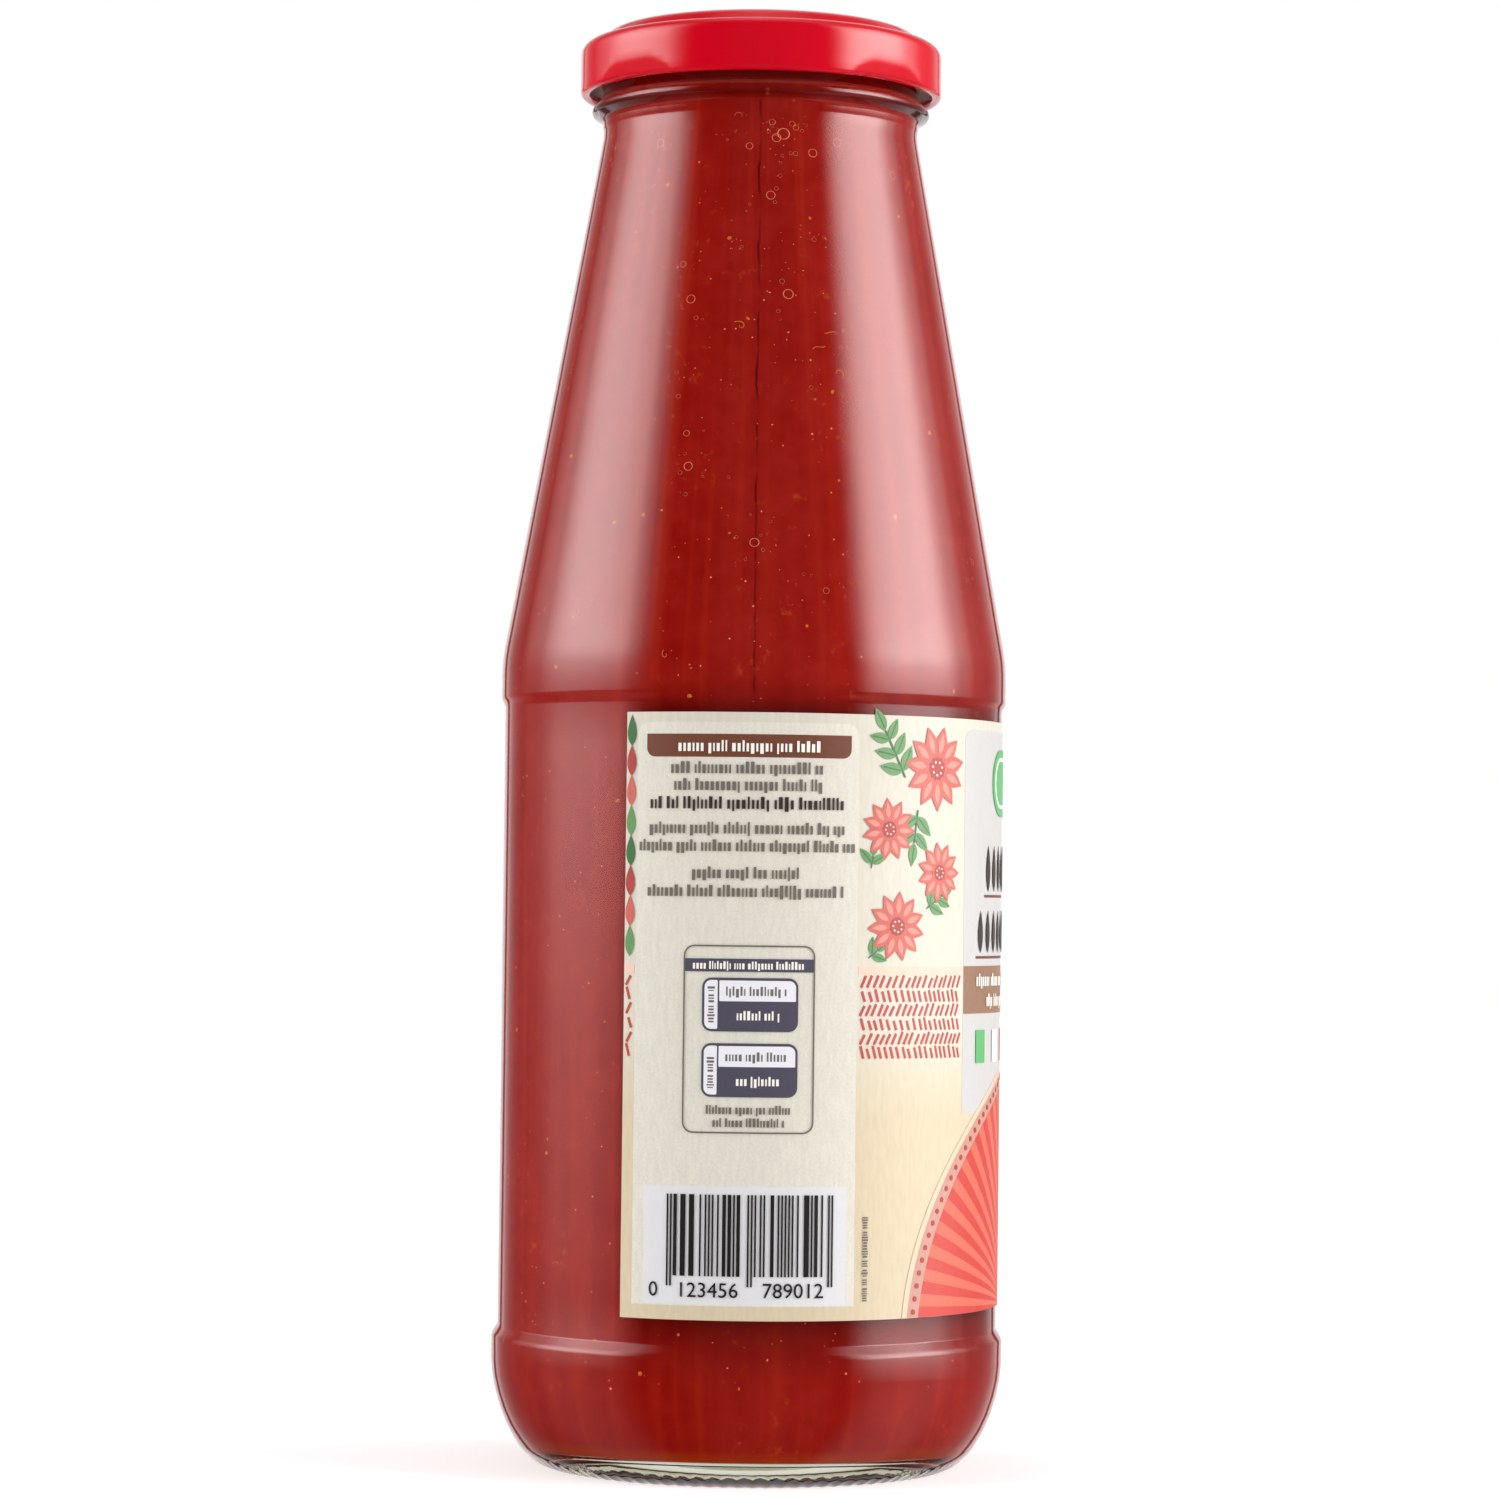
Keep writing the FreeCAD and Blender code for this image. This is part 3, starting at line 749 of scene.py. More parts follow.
@dataclass(frozen=True)
class Bottle:
    """The glass: push-up, bearing ring with its ribs, body, cone, bead and threaded finish."""

    push_up: float = 4.8
    push_up_radius: float = 27.3
    push_up_edge: float = 3.5
    bearing_inner: float = 27.9
    foot_radius: float = 33.2
    heel_radius: float = 39.5
    heel_curve: float = 10.2
    heel_top: float = 20.2
    panel_radius: float = 38.58
    panel_foot: float = 21.7
    panel_top: float = 117.0
    shoulder_radius: float = 39.14
    shoulder_foot: float = 118.1
    cone_foot: float = 124.2
    neck_radius: float = 24.46
    cone_top: float = 205.9
    parting: float = 207.1
    bead_foot: float = 208.4
    bead_radius: float = 26.3
    bead_face: float = 209.5
    bead_face_top: float = 210.5
    bead_top: float = 211.5
    finish_radius: float = 24.85
    rim: float = 221.0
    bore_radius: float = 22.2
    cavity_radius: float = 36.28
    cavity_heel: float = 11.6
    cavity_foot_radius: float = 30.98
    cavity_foot: float = 2.7
    floor_edge_radius: float = 24.5
    floor_edge: float = 6.8
    floor: float = 8.0
    finish_slim: float = 0.35
    parting_half: float = 0.08
    rib_count: int = 90
    rib_height: float = 0.18
    rib_inner: float = 29.4
    rib_outer: float = 34.4
    rib_fade_in: float = 1.6
    rib_fade_out: float = 1.5
    rib_zone: float = 4.0
    rib_clearance: float = 0.03
    seam_half_turn: float = 0.5
    seam_height: float = 0.05
    thread_depth: float = 1.3
    thread_lead: float = 12.0
    thread_low: float = 214.41
    thread_start: float = 27.0
    thread_span: float = 62.0
    thread_fade: float = 14.0
    thread_half: float = 1.25
    thread_flank: float = 0.8
    threads: int = 4

    def outside(self) -> list[Corner]:
        """Outline of the outer skin, from the push-up to the rim.

        Returns:
            Its corners, from the middle of the base upwards.
        """
        return [
            Corner(0.0, self.push_up),
            Corner(self.push_up_radius, self.push_up_edge, 1.5),
            Corner(self.bearing_inner, 0.0, 0.6),
            Corner(self.foot_radius, 0.0, 7.3),
            Corner(self.heel_radius, self.heel_curve, 22.0),
            Corner(self.heel_radius, self.heel_top, 1.7),
            Corner(self.panel_radius, self.panel_foot, 0.4),
            Corner(self.panel_radius, self.panel_top, 1.5),
            Corner(self.shoulder_radius, self.shoulder_foot, 1.5),
            Corner(self.shoulder_radius, self.cone_foot, 20.0),
            Corner(self.neck_radius, self.cone_top, 10.0),
            Corner(self.neck_radius, self.parting - self.parting_half),
            Corner(self.neck_radius + 0.06, self.parting + self.parting_half),
            Corner(self.neck_radius + 0.15, self.bead_foot, 0.9),
            Corner(self.bead_radius, self.bead_face, 0.7),
            Corner(self.bead_radius, self.bead_face_top, 0.9),
            Corner(self.finish_radius, self.bead_top, 0.8),
            Corner(self.finish_radius - self.finish_slim, self.bead_top + 1.3, 0.8),
            Corner(self.finish_radius - self.finish_slim, self.rim, 0.7),
        ]

    def inside(self, top: float, grown: float) -> list[Corner]:
        """Outline of the cavity, from a height down to its floor.

        Args:
            top: The height that it starts at.
            grown: How far it is moved into the glass.

        Returns:
            Its corners.
        """
        return [
            Corner(self.bore_radius + grown, top, 0.8),
            Corner(self.bore_radius + grown, self.cone_top, 10.0),
            Corner(self.cavity_radius + grown, self.cone_foot, 18.0),
            Corner(self.cavity_radius + grown, self.cavity_heel, 15.0),
            Corner(self.cavity_foot_radius + grown, self.cavity_foot - grown, 5.0),
            Corner(self.floor_edge_radius, self.floor_edge - grown, 6.0),
            Corner(0.0, self.floor - grown),
        ]

    def thread_rise(self, direction: float, up: float) -> float:
        """How far a thread stands out of the finish.

        Args:
            direction: Direction about the axis, in degrees.
            up: Height.

        Returns:
            The rise in millimetres.
        """
        turn = (direction - self.thread_start + self.thread_fade) % (360 / self.threads)
        turn -= self.thread_fade
        depth = smooth((turn + self.thread_fade) / self.thread_fade)
        depth *= smooth((self.thread_span + self.thread_fade - turn) / self.thread_fade)
        off = abs(up - self.thread_low - self.thread_lead * turn / 360)
        return self.thread_depth * depth * smooth((self.thread_half - off) / self.thread_flank)

    def relief(self, across: float, direction: float, up: float) -> tuple[float, float]:
        """Ribs under the heel, threads on the finish and the two mould seams.

        Args:
            across: Distance from the axis.
            direction: Direction about the axis, in degrees.
            up: Height.

        Returns:
            The shift out and up.
        """
        out = 0.0
        rise = 0.0
        if up < self.rib_zone and self.rib_inner < across < self.rib_outer:
            wave = 0.5 + 0.5 * math.cos(math.radians(direction * self.rib_count))
            reach = smooth((across - self.rib_inner) / self.rib_fade_in)
            reach *= smooth((self.rib_outer - across) / self.rib_fade_out)
            rise = -min(self.rib_height * reach * wave, max(up - self.rib_clearance, 0.0))
        if up > self.bead_top + 0.6 and across > self.bore_radius + 1.5 and up < self.rim - 0.8:
            out += self.thread_rise(direction, up)
        seam = min(abs(direction % 180 - 90), 90.0)
        if seam < self.seam_half_turn and self.heel_curve < up < self.bead_top:
            out += self.seam_height if across > self.cavity_radius or up > self.cone_foot else 0.0
        return out, rise

    def build(self) -> bpy.types.Object:
        """Turns the glass, raises its relief and puts it in the frame's place.

        Returns:
            The finished piece.
        """
        corners = self.outside() + self.inside(self.rim, 0.0)
        bm = turned(corners, arc_step=7.0)
        shifted(bm, self.relief)
        piece = finished("glass", bm, ClearGlass().material())
        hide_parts("bottle")
        return piece


@dataclass(frozen=True)
class Filling:
    """The pulp, which reaches just into the wall of the glass."""

    bottle: Bottle
    level: float = 214.0
    reach: float = 0.05
    top_radius: float = 21.5
    top_height: float = 0.5
    top_scale: float = 0.25

    def build(self) -> bpy.types.Object:
        """Turns the pulp with an uneven top.

        Returns:
            The finished piece.
        """
        corners = self.bottle.inside(self.level, self.reach)
        corners[0] = Corner(corners[0].across, corners[0].up)
        corners.insert(0, Corner(0.0, self.level))
        bm = turned(corners, steps=180, arc_step=10.0, run=3.0)
        for vert in bm.verts:
            if vert.co.z > self.level - 0.01 and math.hypot(vert.co.x, vert.co.y) < self.top_radius:
                vert.co.z += self.top_height * noise.noise(vert.co * self.top_scale)
        piece = finished("tomato_pulp", bm, TomatoPulp().material())
        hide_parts("pulp")
        return piece


@dataclass(frozen=True)
class Bits:
    """What lies against the inside of the glass: bubbles, specks, flecks of skin and fibres."""

    bottle: Bottle
    seed: int = 12
    low: float = 14.0
    high: float = 205.0
    proud: float = 0.09
    clusters: int = 105
    cluster_low: float = 112.0
    bubble_sizes: tuple[float, ...] = (0.24, 0.3, 0.36, 0.5, 0.7)
    placed: tuple[tuple[float, float, float], ...] = (
        (-81.5, 203.2, 0.95),
        (-80.8, 178.3, 0.8),
        (-98.5, 206.0, 0.6),
        (-94.0, 201.2, 0.55),
        (-115.0, 183.0, 0.5),
        (-137.0, 130.0, 0.5),
    )
    least_rim: float = 0.13
    rim_radius: float = 0.92
    rim_half: float = 0.1
    rim_steps: int = 12
    specks: int = 2600
    speck_sizes: Point = (0.07, 0.23)
    flecks: int = 320
    fleck_sizes: Point = (0.12, 0.55)
    fibre_count: int = 46
    placed_fibre: tuple[float, float, float] = (-97.3, 173.9, 3.0)
    fibre_steps: int = 9
    fibre_step: float = 0.11
    fibre_half: float = 0.03
    fibre_thickness: float = 0.1

    def spot(self, direction: float, up: float, turn: float, size: float) -> Matrix:
        """A place on the cavity's wall: X along it, Y up it and Z into the glass.

        Args:
            direction: Direction about the axis, in degrees.
            up: Height.
            turn: Turn on the wall, in degrees.
            size: Scale.

        Returns:
            The place as a matrix.
        """
        bottle = self.bottle
        cone = bottle.cone_top - bottle.cone_foot
        share = min(max((up - bottle.cone_foot) / cone, 0.0), 1.0)
        narrowing = bottle.cavity_radius - bottle.bore_radius
        across = bottle.cavity_radius - narrowing * share
        lean = math.atan2(narrowing, cone) if 0 < share < 1 else 0.0
        return (
            Matrix.Rotation(math.radians(direction), 4, "Z")
            @ Matrix.Translation((across, 0, up))
            @ Matrix.Rotation(-lean, 4, "Y")
            @ Matrix.Rotation(math.radians(90), 4, "Y")
            @ Matrix.Rotation(math.radians(90 + turn), 4, "Z")
            @ Matrix.Diagonal((size, size, 1.0, 1.0))
        )

    def bubbles(self) -> None:
        """Open rims of bubbles in small clusters, most of them in the neck, painted pale for the light
        that a bubble's edge reflects.
        """
        rng = random.Random(self.seed)
        bm = bmesh.new()
        clusters = [
            (
                rng.uniform(0, 360),
                self.high - (self.high - self.cluster_low) * rng.random() ** 2.4,
                rng.choice(self.bubble_sizes),
            )
            for _ in range(self.clusters)
        ]
        clusters += self.placed
        for direction, up, size in clusters:
            self.rim(bm, self.spot(direction, up, 0.0, size))
            for _ in range(rng.randint(1, 8)):
                aside = rng.gauss(0, 2.6 * size + 0.4)
                above = rng.gauss(0.2, 2.2 * size + 0.6)
                near = self.spot(direction + 2.2 * aside, up + above, 0.0, 1.0)
                small = size * rng.uniform(0.12, 0.5)
                if small > self.least_rim:
                    self.rim(bm, near @ Matrix.Diagonal((small, small, 1.0, 1.0)))
                else:
                    bead = Matrix.Diagonal((small, small, self.proud, 1.0))
                    bmesh.ops.create_icosphere(bm, subdivisions=1, radius=1.0, matrix=near @ bead)
        # Painted reflection: the bubbles are drawn as opaque pale rims and beads, standing in for light on
        # their edges.
        pale = Flesh("bubble_rim_glint", linear(240, 160, 124), linear(206, 100, 66))
        finished("pulp_bubbles", bm, pale.material())

    def rim(self, bm: BMesh, place: Matrix) -> None:
        """Adds one bubble's rim.

        Args:
            bm: Where it goes.
            place: Its place and size.
        """
        ring = bmesh.new()
        upright = Matrix.Rotation(math.radians(90), 4, "X")
        spot = Matrix.Translation((self.rim_radius, 0, 0)) @ upright
        bmesh.ops.create_circle(ring, segments=4, radius=self.rim_half, matrix=spot)
        spun(ring, self.rim_steps)
        bmesh.ops.transform(ring, matrix=place, verts=ring.verts)
        self.join(bm, ring)

    @staticmethod
    def join(bm: BMesh, piece: BMesh) -> None:
        """Adds a small piece to the rest and frees it.

        Args:
            bm: The rest.
            piece: The small piece.
        """
        bmesh.ops.recalc_face_normals(piece, faces=piece.faces)
        mesh = bpy.data.meshes.new("bit")
        piece.to_mesh(mesh)
        piece.free()
        bm.from_mesh(mesh)
        bpy.data.meshes.remove(mesh)

    def grains(self, name: str, finish: Flesh, count: int, sizes: Point, seed: int) -> None:
        """Scatters small flat grains over the wall.

        Args:
            name: The piece's name.
            finish: Their finish.
            count: How many.
            sizes: Smallest and largest radius.
            seed: Picks the pattern.
        """
        rng = random.Random(seed)
        bm = bmesh.new()
        for _ in range(count):
            up = rng.uniform(self.low, self.high)
            size = sizes[0] + (sizes[1] - sizes[0]) * rng.random() ** 2.5
            place = self.spot(rng.uniform(0, 360), up, rng.uniform(0, 180), 1.0)
            shape = Matrix.Diagonal((size * rng.uniform(0.5, 1.0), size, self.proud, 1.0))
            bmesh.ops.create_icosphere(bm, subdivisions=1, radius=1.0, matrix=place @ shape)
        finished(name, bm, finish.material())

    def fibres(self) -> None:
        """Curled fibres, each a thin ribbon bent in its own way."""
        rng = random.Random(self.seed + 1)
        bm = bmesh.new()
        places = [self.placed_fibre] + [
            (rng.uniform(0, 360), rng.uniform(30.0, 200.0), rng.uniform(1.0, 2.6))
            for _ in range(self.fibre_count)
        ]
        for direction, up, size in places:
            ribbon = bmesh.new()
            first = ribbon.verts.new((-self.fibre_half, 0, self.fibre_thickness / 2))
            last = ribbon.verts.new((self.fibre_half, 0, self.fibre_thickness / 2))
            ribbon.edges.new((first, last))
            edge = [first, last]
            bend = rng.uniform(-28, 28)
            sway = rng.uniform(-9, 9)
            for _ in range(self.fibre_steps):
                grown = bmesh.ops.extrude_edge_only(ribbon, edges=self.between(ribbon, edge))
                edge = [v for v in grown["geom"] if isinstance(v, BMVert)]
                bend += sway
                middle = (edge[0].co + edge[1].co) / 2
                across = edge[1].co - edge[0].co
                along = across.cross(Vector((0, 0, 1))).normalized() * -self.fibre_step
                bmesh.ops.translate(ribbon, vec=along, verts=edge)
                turn = Matrix.Rotation(math.radians(bend), 3, "Z")
                bmesh.ops.rotate(ribbon, cent=middle + along, matrix=turn, verts=edge)
            bmesh.ops.solidify(ribbon, geom=ribbon.faces[:], thickness=self.fibre_thickness)
            place = self.spot(direction, up, rng.uniform(0, 360), size)
            bmesh.ops.transform(ribbon, matrix=place, verts=ribbon.verts)
            self.join(bm, ribbon)
        warm = Flesh("fibre", linear(206, 108, 44), linear(178, 66, 34))
        finished("pulp_fibres", bm, warm.material())

    @staticmethod
    def between(bm: BMesh, ends: list[BMVert]) -> list[Any]:
        """The edge between two vertices, in a list."""
        return [edge for edge in bm.edges if set(edge.verts) == set(ends)]

    def build(self) -> None:
        """Makes every kind of bit."""
        self.bubbles()
        pale = Flesh("pale_speck", linear(238, 158, 120), linear(196, 88, 56))
        self.grains("pulp_specks", pale, self.specks, self.speck_sizes, self.seed + 2)
        skin = Flesh("skin_fleck", linear(212, 128, 42), linear(164, 56, 22))
        self.grains("pulp_flecks", skin, self.flecks, self.fleck_sizes, self.seed + 3)
        self.fibres()


# ---------------------------------------------------------------- cap


@dataclass(frozen=True)
class Cap:
    """Twist-off cap of drawn tinplate: button, ridge, rolled shoulder, skirt and four lugs."""

    top: float = 222.33
    sheet: float = 0.25
    button_radius: float = 8.0
    button_drop: float = 0.5
    panel: float = 221.33
    ridge_inner: float = 21.0
    ridge_outer: float = 23.75
    ridge_foot: float = 25.3
    shoulder: float = 220.5
    radius: float = 28.1
    foot: float = 212.33
    hem: float = 2.7
    roll_width: float = 1.5
    roll_height: float = 1.25
    lugs: int = 4
    lug_direction: float = 45.0
    lug_half_span: float = 6.5
    lug_blend: float = 12.5
    lug_lean: float = 0.8
    lug_reach: float = 1.45
    lug_lift: float = 0.3
    lining: float = 0.04
    lining_lift: float = 0.3
    inside_from: int = 11

    def section(self) -> list[Corner]:
        """The sheet's section, from the button out, round the edge and back inside.

        Returns:
            Its corners, in order.
        """
        button = self.panel - self.button_drop
        inner = self.radius - self.sheet
        curl = self.radius - self.roll_width
        return [
            Corner(0.0, button),
            Corner(self.button_radius, button, 0.7),
            Corner(self.button_radius + 1.2, self.panel, 0.7),
            Corner(self.ridge_inner - 1.0, self.panel, 0.7),
            Corner(self.ridge_inner, self.top, 0.7),
            Corner(self.ridge_outer, self.top, 2.0),
            Corner(self.ridge_foot, self.shoulder, 0.5),
            Corner(self.radius, self.shoulder, 1.8),
            Corner(self.radius, self.foot, 0.68),
            Corner(curl, self.foot, 0.6),
            Corner(curl, self.foot + self.roll_height, 0.45),
            Corner(inner, self.foot + self.roll_height + 0.35, 0.2),
            Corner(inner, self.shoulder - self.sheet, 1.55),
            Corner(self.ridge_foot - 0.05, self.shoulder - self.sheet, 0.7),
            Corner(self.ridge_outer - 0.12, self.top - self.sheet, 1.75),
            Corner(self.ridge_inner + 0.22, self.top - self.sheet, 0.45),
            Corner(self.ridge_inner - 0.85, self.panel - self.sheet, 0.95),
            Corner(self.button_radius + 1.25, self.panel - self.sheet, 0.45),
            Corner(self.button_radius + 0.05, button - self.sheet, 0.95),
            Corner(0.0, button - self.sheet),
        ]

    def pressed(self, across: float, direction: float, up: float) -> tuple[float, float]:
        """Presses the rolled edge and an arch of the skirt above it in to a lug.

        Args:
            across: Distance from the axis.
            direction: Direction about the axis, in degrees.
            up: Height.

        Returns:
            The shift out and up.
        """
        pitch = 360 / self.lugs
        off = abs((direction - self.lug_direction + pitch / 2) % pitch - pitch / 2)
        share = smooth((self.lug_half_span + self.lug_blend - off) / self.lug_blend)
        depth = 1 - (up - self.foot) / (self.hem * max(share, 0.05))
        inward = min(max((self.radius - across) / self.roll_width, 0.0), 1.0)
        if across < self.radius - 2.5 or up > self.foot + self.hem:
            return 0.0, 0.0
        lean = (1 - inward) * self.lug_lean * smooth(depth) + inward * self.lug_reach
        return -lean * share, self.lug_lift * share * smooth(depth)

    def skin(self) -> list[Corner]:
        """The section of the pale lining, from the skirt's inside to the middle.

        Returns:
            Its corners, in order.
        """
        inner = self.section()[self.inside_from :]
        inner[0] = Corner(inner[0].across, inner[0].up + self.lining_lift)
        lower = [
            Corner(max(c.across - self.lining, 0.0), c.up - self.lining, c.rounding)
            for c in inner
        ]
        return inner + lower[::-1]

    def build(self) -> None:
        """Turns the cap and its lining and presses the lugs."""
        bm = turned(self.section(), arc_step=14.0, run=1.2)
        shifted(bm, self.pressed)
        red = Lacquer("red_lacquer", linear(206, 0, 28))
        piece = finished("cap_shell", bm, red.material())
        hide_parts("cap")
        bm = turned(self.skin(), steps=180, arc_step=20.0, run=2.5)
        shifted(bm, self.pressed)
        pale = Lacquer("pale_lining", linear(248, 247, 243), 0.45)
        finished("cap_lining", bm, pale.material())


# ---------------------------------------------------------------- label


class Tone(Enum):
    """The inks, from the lowest to the topmost: swatch, and how much the paper's fibres show."""

    PANEL = ((226, 220, 207), 0.05)
    PALE = ((201, 198, 196), 0.02)
    HAZE = ((238, 204, 184), 0.04)
    WHITE_FIELD = ((222, 221, 223), 0.01)
    STRIP = ((150, 112, 86), 0.04)
    HEADER = ((118, 66, 45), 0.03)
    HATCH = ((190, 66, 62), 0.05)
    SUN_RIM = ((203, 148, 132), 0.05)
    SUN_EDGE = ((240, 200, 172), 0.03)
    SUN_RED = ((206, 62, 52), 0.04)
    SUN_ORANGE = ((222, 104, 82), 0.04)
    LEAF = ((98, 150, 88), 0.05)
    LEAF_DEEP = ((54, 112, 54), 0.05)
    CORAL = ((208, 97, 85), 0.05)
    CORAL_PALE = ((224, 142, 126), 0.03)
    CORAL_DEEP = ((178, 54, 48), 0.04)
    GREEN = ((96, 178, 108), 0.03)
    SLATE = ((80, 76, 94), 0.02)
    TAG = ((236, 234, 241), 0.01)
    SMALL_MARKS = ((112, 104, 94), 0.0)
    DARK_MARKS = ((58, 44, 38), 0.0)
    PALE_MARKS = ((250, 243, 233), 0.0)
    BARS = ((30, 26, 25), 0.0)

    @property
    def finish(self) -> Ink:
        """The ink's finish."""
        swatch, fibre = self.value
        return Ink(f"ink_{self.name.lower()}", linear(*swatch), fibre)

    @property
    def order(self) -> int:
        """The ink's place in the printing order."""
        return list(Tone).index(self)


class Print:
    """One ink's print, drawn flat in label millimetres and then wrapped round the glass."""

    MAP = "unrolled"
    CUT = 1.2
    THICKNESS = 0.04
    ROUND_STEPS = 6
    LIFT = 0.008

    def __init__(self) -> None:
        """Starts an empty print."""
        self.bm = bmesh.new()

    def outline(self, points: Iterable[Point]) -> list[BMVert]:
        """Adds a flat shape.

        Args:
            points: Its corners, in order.

        Returns:
            Its vertices.
        """
        verts = [self.bm.verts.new((s, t, 0.0)) for s, t in points]
        self.bm.faces.new(verts)
        return verts

    def box(self, left: float, low: float, right: float, high: float, *rounds: float) -> None:
        """Adds an upright rectangle.

        Args:
            left: Left edge.
            low: Lower edge.
            right: Right edge.
            high: Upper edge.
            *rounds: Rounding of its corners: one for all, or lower left, lower right, upper
                right and upper left.
        """
        verts = self.outline([(left, low), (right, low), (right, high), (left, high)])
        if len(rounds) == 1:
            rounds = rounds * 4
        for vert, rounding in zip(verts, rounds):
            if rounding > 0:
                rounded(self.bm, vert, rounding, self.ROUND_STEPS)

    def frame(
        self, left: float, low: float, right: float, high: float, line: float, rounding: float
    ) -> None:
        """Adds the outline of a rounded rectangle.

        Args:
            left: Left edge.
            low: Lower edge.
            right: Right edge.
            high: Upper edge.
            line: Width of the line.
            rounding: Rounding of its corners.
        """
        before = set(self.bm.faces)
        self.box(left, low, right, high, rounding)
        inner = [f for f in self.bm.faces if f not in before]
        bmesh.ops.inset_region(self.bm, faces=inner, thickness=line, use_boundary=True)
        bmesh.ops.delete(self.bm, geom=inner, context="FACES")

    def disc(self, s: float, t: float, radius: float, points: int = 28) -> None:
        """Adds a disc.

        Args:
            s: Its middle, along the label.
            t: Its middle, up the label.
            radius: Its radius.
            points: Corners round it.
        """
        place = Matrix.Translation((s, t, 0))
        bmesh.ops.create_circle(
            self.bm, cap_ends=True, radius=radius, segments=points, matrix=place
        )

    def leaf(self, foot: Point, length: float, width: float, angle: float) -> None:
        """Adds a pointed leaf or petal.

        Args:
            foot: Where its stalk is.
            length: Its length.
            width: Its width.
            angle: Its direction in degrees.
        """
        way = heading(math.radians(angle))
        side = Vector((-way.y, way.x))
        shares = [step / 8 for step in range(9)]
        half = [(length * x, math.sin(math.pi * x**0.8) * width / 2) for x in shares]
        around = half + [(along, -swell) for along, swell in reversed(half[1:-1])]
        self.outline(tuple(Vector(foot) + way * a + side * b) for a, b in around)

    def stroke(self, first: Point, last: Point, width: float) -> None:
        """Adds a straight stroke.

        Args:
            first: Middle of its first end.
            last: Middle of its last end.
            width: Its width.
        """
        a, b = Vector(first), Vector(last)
        side = (b - a).orthogonal().normalized() * width / 2
        self.outline([tuple(a + side), tuple(a - side), tuple(b - side), tuple(b + side)])

    def marks(
        self, left: float, right: float, t: float, tall: float, seed: int, upright: bool = False
    ) -> None:
        """Adds a line of small blocks that stand for words, with no letter in them.

        Args:
            left: Where the line starts.
            right: Where it ends.
            t: Height of its middle.
            tall: Height of its tallest blocks.
            seed: Picks the pattern.
            upright: Whether the line runs up the label.
        """
        rng = random.Random(seed)
        low = t - tall / 2
        place = left
        left_in_word = rng.randint(3, 9)
        while place < right - tall * 0.25:
            wide = min(tall * rng.uniform(0.14, 0.32), right - place)
            top = tall * (1.0 if rng.random() < 0.3 else 0.74)
            foot = tall * (0.2 if rng.random() < 0.1 else 0.0)
            edges = (place, low - foot, place + wide, low + top)
            if upright:
                edges = (t - top / 2, place, t + top / 2, place + wide)
            self.box(*edges)
            place += wide + tall * 0.17
            left_in_word -= 1
            if left_in_word == 0:
                place += tall * 0.28
                left_in_word = rng.randint(3, 10)

    def number(self, text: str, s: float, t: float, size: float) -> None:
        """Adds plain numbers, centred on a place.

        Args:
            text: The numbers.
            s: Their middle, along the label.
            t: Their foot, up the label.
            size: Their size.
        """
        curve = bpy.data.curves.new("number", "FONT")
        curve.body = text
        curve.size = size
        curve.align_x = "CENTER"
        curve.resolution_u = 3
        holder = bpy.data.objects.new("number", curve)
        flat = bpy.data.meshes.new_from_object(holder)
        flat.transform(Matrix.Translation((s, t, 0)))
        self.bm.from_mesh(flat)
        bpy.data.objects.remove(holder)
        bpy.data.curves.remove(curve)
        bpy.data.meshes.remove(flat)

    def wrapped(
        self, name: str, sheet: "Label", lift: float, thickness: float, material: bpy.types.Material
    ) -> bpy.types.Object:
        """Cuts the print into narrow strips, wraps it and makes it a piece.

        Args:
            name: The piece's name.
            sheet: The label that it lies on.
            lift: How far its face lies above the paper's face.
            thickness: How thick it is.
            material: Its finish.

        Returns:
            The piece.
        """
        bm = self.bm
        reach = max(v.co.x for v in bm.verts)
        cut = self.CUT
        while cut < reach:
            bmesh.ops.bisect_plane(
                bm,
                geom=bm.verts[:] + bm.edges[:] + bm.faces[:],
                dist=0.0001,
                plane_co=(cut, 0, 0),
                plane_no=(1, 0, 0),
            )
            cut += self.CUT
        flipped = [face for face in bm.faces if face.normal.z < 0]
        bmesh.ops.reverse_faces(bm, faces=flipped)
        under = bm.faces[:]
        grown = bmesh.ops.extrude_face_region(bm, geom=under, use_keep_orig=True)
        raised = [v for v in grown["geom"] if isinstance(v, BMVert)]
        bmesh.ops.translate(bm, vec=(0, 0, thickness), verts=raised)
        bmesh.ops.reverse_faces(bm, faces=under)
        layer = bm.loops.layers.uv.new(self.MAP)
        for face in bm.faces:
            for loop in face.loops:
                loop[layer].uv = (loop.vert.co.x * 0.01, loop.vert.co.y * 0.01)
        face_radius = sheet.radius + sheet.thickness
        for vert in bm.verts:
            s, t, depth = vert.co
            across = face_radius + lift - thickness + depth
            way = math.radians(sheet.start) + s / face_radius
            vert.co = (across * math.cos(way), across * math.sin(way), sheet.foot + t)
        return finished(name, bm, material)


